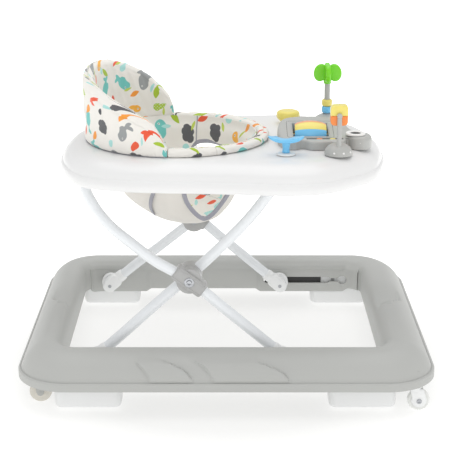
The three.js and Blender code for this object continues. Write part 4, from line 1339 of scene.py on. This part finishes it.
def flower():
    x, y = 179, 70
    mound = catmull([(27, 397.6), (27, 401), (26, 406), (23.5, 412), (19, 417.6), (13, 421.4), (8, 423.4),
                     (5.6, 424.3), (5, 427)], 30)
    profile = np.vstack([[(0, 397.6)], mound, [(5, 440), (5, 478), (0, 478)]])
    make("flower_stand", turned("z", (x, y, 0), profile), TOY_GREY, "tray", ["flower_post"])
    for node, z0, mat, body in (("ring_blue", 425, TOY_BLUE, "lower_ring"),
                                ("ring_yellow", 437.4, TOY_YELLOW, "upper_ring")):
        sec = fillet([(5.4, z0), (7.6, z0), (9.3, z0 + 2.4), (9.3, z0 + 9.6), (7.6, z0 + 12),
                      (5.4, z0 + 12), (5.4, z0)], 1.2)
        make(f"{node}_bead", turned("z", (x, y, 0), sec), mat, body, [node])
    core = fillet([(0, 477.4), (6.4, 477.4), (7, 480), (7, 507), (5, 510.5), (0, 511.6)], 1.6)
    parts = [turned("z", (x, y, 0), core)]
    a = np.linspace(0, 2 * math.pi, 56, endpoint=False)
    petal = np.column_stack([12.4 + 12.4 * np.cos(a), 497 + 15.4 * np.sin(a) - 1.6 * np.cos(a)])
    for turn in (0, 90, 180, 270):
        v, f = slab(petal, -4.5, 4.5, 3.2, 6)
        c, n = math.cos(math.radians(turn)), math.sin(math.radians(turn))
        parts.append((np.column_stack([x + v[:, 0] * c - v[:, 2] * n, y + v[:, 0] * n + v[:, 2] * c,
                                       v[:, 1]]), f))
    make("flower_spinner", merged(*parts), TOY_GREEN, "flower", ["flower_head"])


def tumbler():
    x, y, z = 184, -124, 464
    foot = catmull([(23, 398), (23, 400.5), (22.2, 404.5), (20, 408.8), (16, 412.6), (11, 415.4),
                    (6, 416.8), (0, 417)], 30)
    dome = turned("z", (x, y - 3, 0), np.vstack([[(0, 397.9)], foot]))
    stem = turned("z", (x, y - 13.4, 0),
                  fillet([(0, 407), (4.6, 407), (3.9, 420), (3.8, 461), (0, 461)], 0.5), 32)
    boss = turned("y", (x, 0, z),
                  fillet([(0, -140.6), (3.8, -140.6), (4.3, -139), (4.3, -133.6), (0, -133.6)], 0.9), 40)
    pin = turned("y", (x, 0, z), [(0, -136), (2.4, -136), (2.4, -112.4), (0, -112.4)], 24)
    make("tumbler_stand", merged(dome, stem, boss, pin), TOY_GREY, "tray", ["tumbler_post"])
    plan = rounded_rectangle(-14, 14, -17, 17, 6, 12)
    lean = plan[:, 0] * 0.10
    plan[:, 1] = np.where(plan[:, 1] > 0, plan[:, 1] * 0.94 + lean * 0.6, plan[:, 1])
    split = -1.0
    for name, keep, mat, nodes in (("tumbler_top", 1, TOY_YELLOW, ["tumbler_block"]),
                                   ("tumbler_bottom", -1, TOY_ORANGE, [])):
        half = plan[(plan[:, 1] - split) * keep > 0]
        edge = np.array([(-14, split), (14, split)])[::keep]
        start = np.argmax(np.linalg.norm(np.diff(np.vstack([half, half[:1]]), axis=0), axis=1)) + 1
        half = np.vstack([np.roll(half, -start, axis=0), edge + [0, 0.02 * keep]])
        make(name, upright(slab(half, -9, 9, 1.2, 3), x, y, z, -1), mat, "tumbler", nodes)


def tail():
    x, y = 98, -127
    make("tail_seat",
         turned("z", (x, y, 0),
                fillet([(0, 397.7), (16, 397.7), (16, 399.2), (13.5, 400.6), (0, 400.8)], 0.7)),
         TOY_WHITE, "tray", ["tail_toy_base"])
    stem = turned("z", (x, y, 0),
                  fillet([(0, 401), (6.6, 401), (5.6, 408), (7, 416), (10, 420), (0, 421)], 1.5))
    outline = catmull([(0, -9), (9, -11.5), (20, -11), (28.5, -4), (29, 4), (22, 9), (11, 10), (0, 5),
                       (-11, 10), (-22, 9),
                       (-29, 4), (-28.5, -4), (-20, -11), (-9, -11.5)], 120, closed=True)
    v, f = slab(outline, 0, 6, 2.4, 5)
    lift = 418 + 0.0085 * v[:, 0] ** 2 + 1.4 * np.exp(-((np.abs(v[:, 0]) - 16) / 4) ** 2) * (v[:, 2] > 3)
    fluke = (np.column_stack([x + v[:, 0], y + v[:, 1], lift + v[:, 2] * (1 - 0.012 * np.abs(v[:, 0]))]), f)
    make("tail_fluke", merged(stem, fluke), TOY_BLUE, "tail_spinner", ["tail_toy"], sharp=50)


def knob():
    profile = catmull([(12, 397.9), (12.4, 400), (15, 403), (19, 406.4), (21, 410.6), (21, 415),
                       (19.4, 419), (15, 421.2), (8, 421.6), (0, 421.6)], 40)
    part = turned("z", (112, 106, 0), np.vstack([[(0, 397.9)], profile]))
    make("knob_cap", part, TOY_YELLOW, "knob", ["knob_toy"])


# ---------------------------------------------------------------- surroundings
def floor():
    s = Shade("floor", Roughness=0.9)
    where = Val(s.tree, s.node("ShaderNodeNewGeometry").outputs["Position"])
    parts = s.node("ShaderNodeSeparateXYZ", Vector=where)
    away = length(Val(s.tree, parts.outputs[0]), Val(s.tree, parts.outputs[1]))
    # Painted light: the floor glows, weakly within about 0.34 m of the walker's middle and more strongly
    # out to about 0.74 m, so it fades to a white backdrop.
    far = ((away - 0.34) / 0.4).op("ADD", 0.0, clamp=True)
    s.bsdf.inputs["Base Color"].default_value = (0.28, 0.28, 0.275, 1)
    s.tree.links.new((far * 0.54 + 0.7).socket, s.bsdf.inputs["Emission Strength"])
    s.bsdf.inputs["Emission Color"].default_value = (1, 1, 0.99, 1)
    mesh = bpy.data.meshes.new("floor")
    mesh.from_pydata([(-12, -12, 0), (12, -12, 0), (12, 12, 0), (-12, 12, 0)], [], [(0, 1, 2, 3)])
    obj = bpy.data.objects.new("floor", mesh)
    mesh.materials.append(s.material)
    bpy.context.scene.collection.objects.link(obj)


def area_light(name, place, target, size, power):
    data = bpy.data.lights.new(name, "AREA")
    data.shape, data.size, data.energy = "SQUARE", size, power
    obj = bpy.data.objects.new(name, data)
    obj.location = place
    obj.rotation_euler = (Vector(target) - Vector(place)).to_track_quat("-Z", "Y").to_euler()
    bpy.context.scene.collection.objects.link(obj)


def studio():
    scene = bpy.context.scene
    world = bpy.data.worlds.new("studio")
    world.use_nodes = True
    back = world.node_tree.nodes["Background"]
    back.inputs["Color"].default_value = (1, 1, 1, 1)
    back.inputs["Strength"].default_value = 0.7
    scene.world = world
    scene.view_settings.view_transform = "Standard"
    area_light("overhead", (0.0, 0.3, 2.4), (0, 0, 0.2), 2.2, 20)
    area_light("front", (0.35, -2.7, 1.7), (0, 0, 0.25), 1.6, 5)
    camera = bpy.data.cameras.new("camera")
    camera.sensor_width = 36
    camera.lens = 105.0
    eye = bpy.data.objects.new("camera", camera)
    eye.location = (-0.0023, -2.2239, 0.9236)
    eye.rotation_euler = (math.radians(90 - 17.161), 0, 0)
    scene.collection.objects.link(eye)
    scene.camera = eye


base_ring()
stoppers()
wheels()
folding_frame()
tray()
tray_fittings()
seat_pads()
sling()
toy_panel()
drum()
dots()
dial_and_button()
flower()
tumbler()
tail()
knob()
floor()
studio()
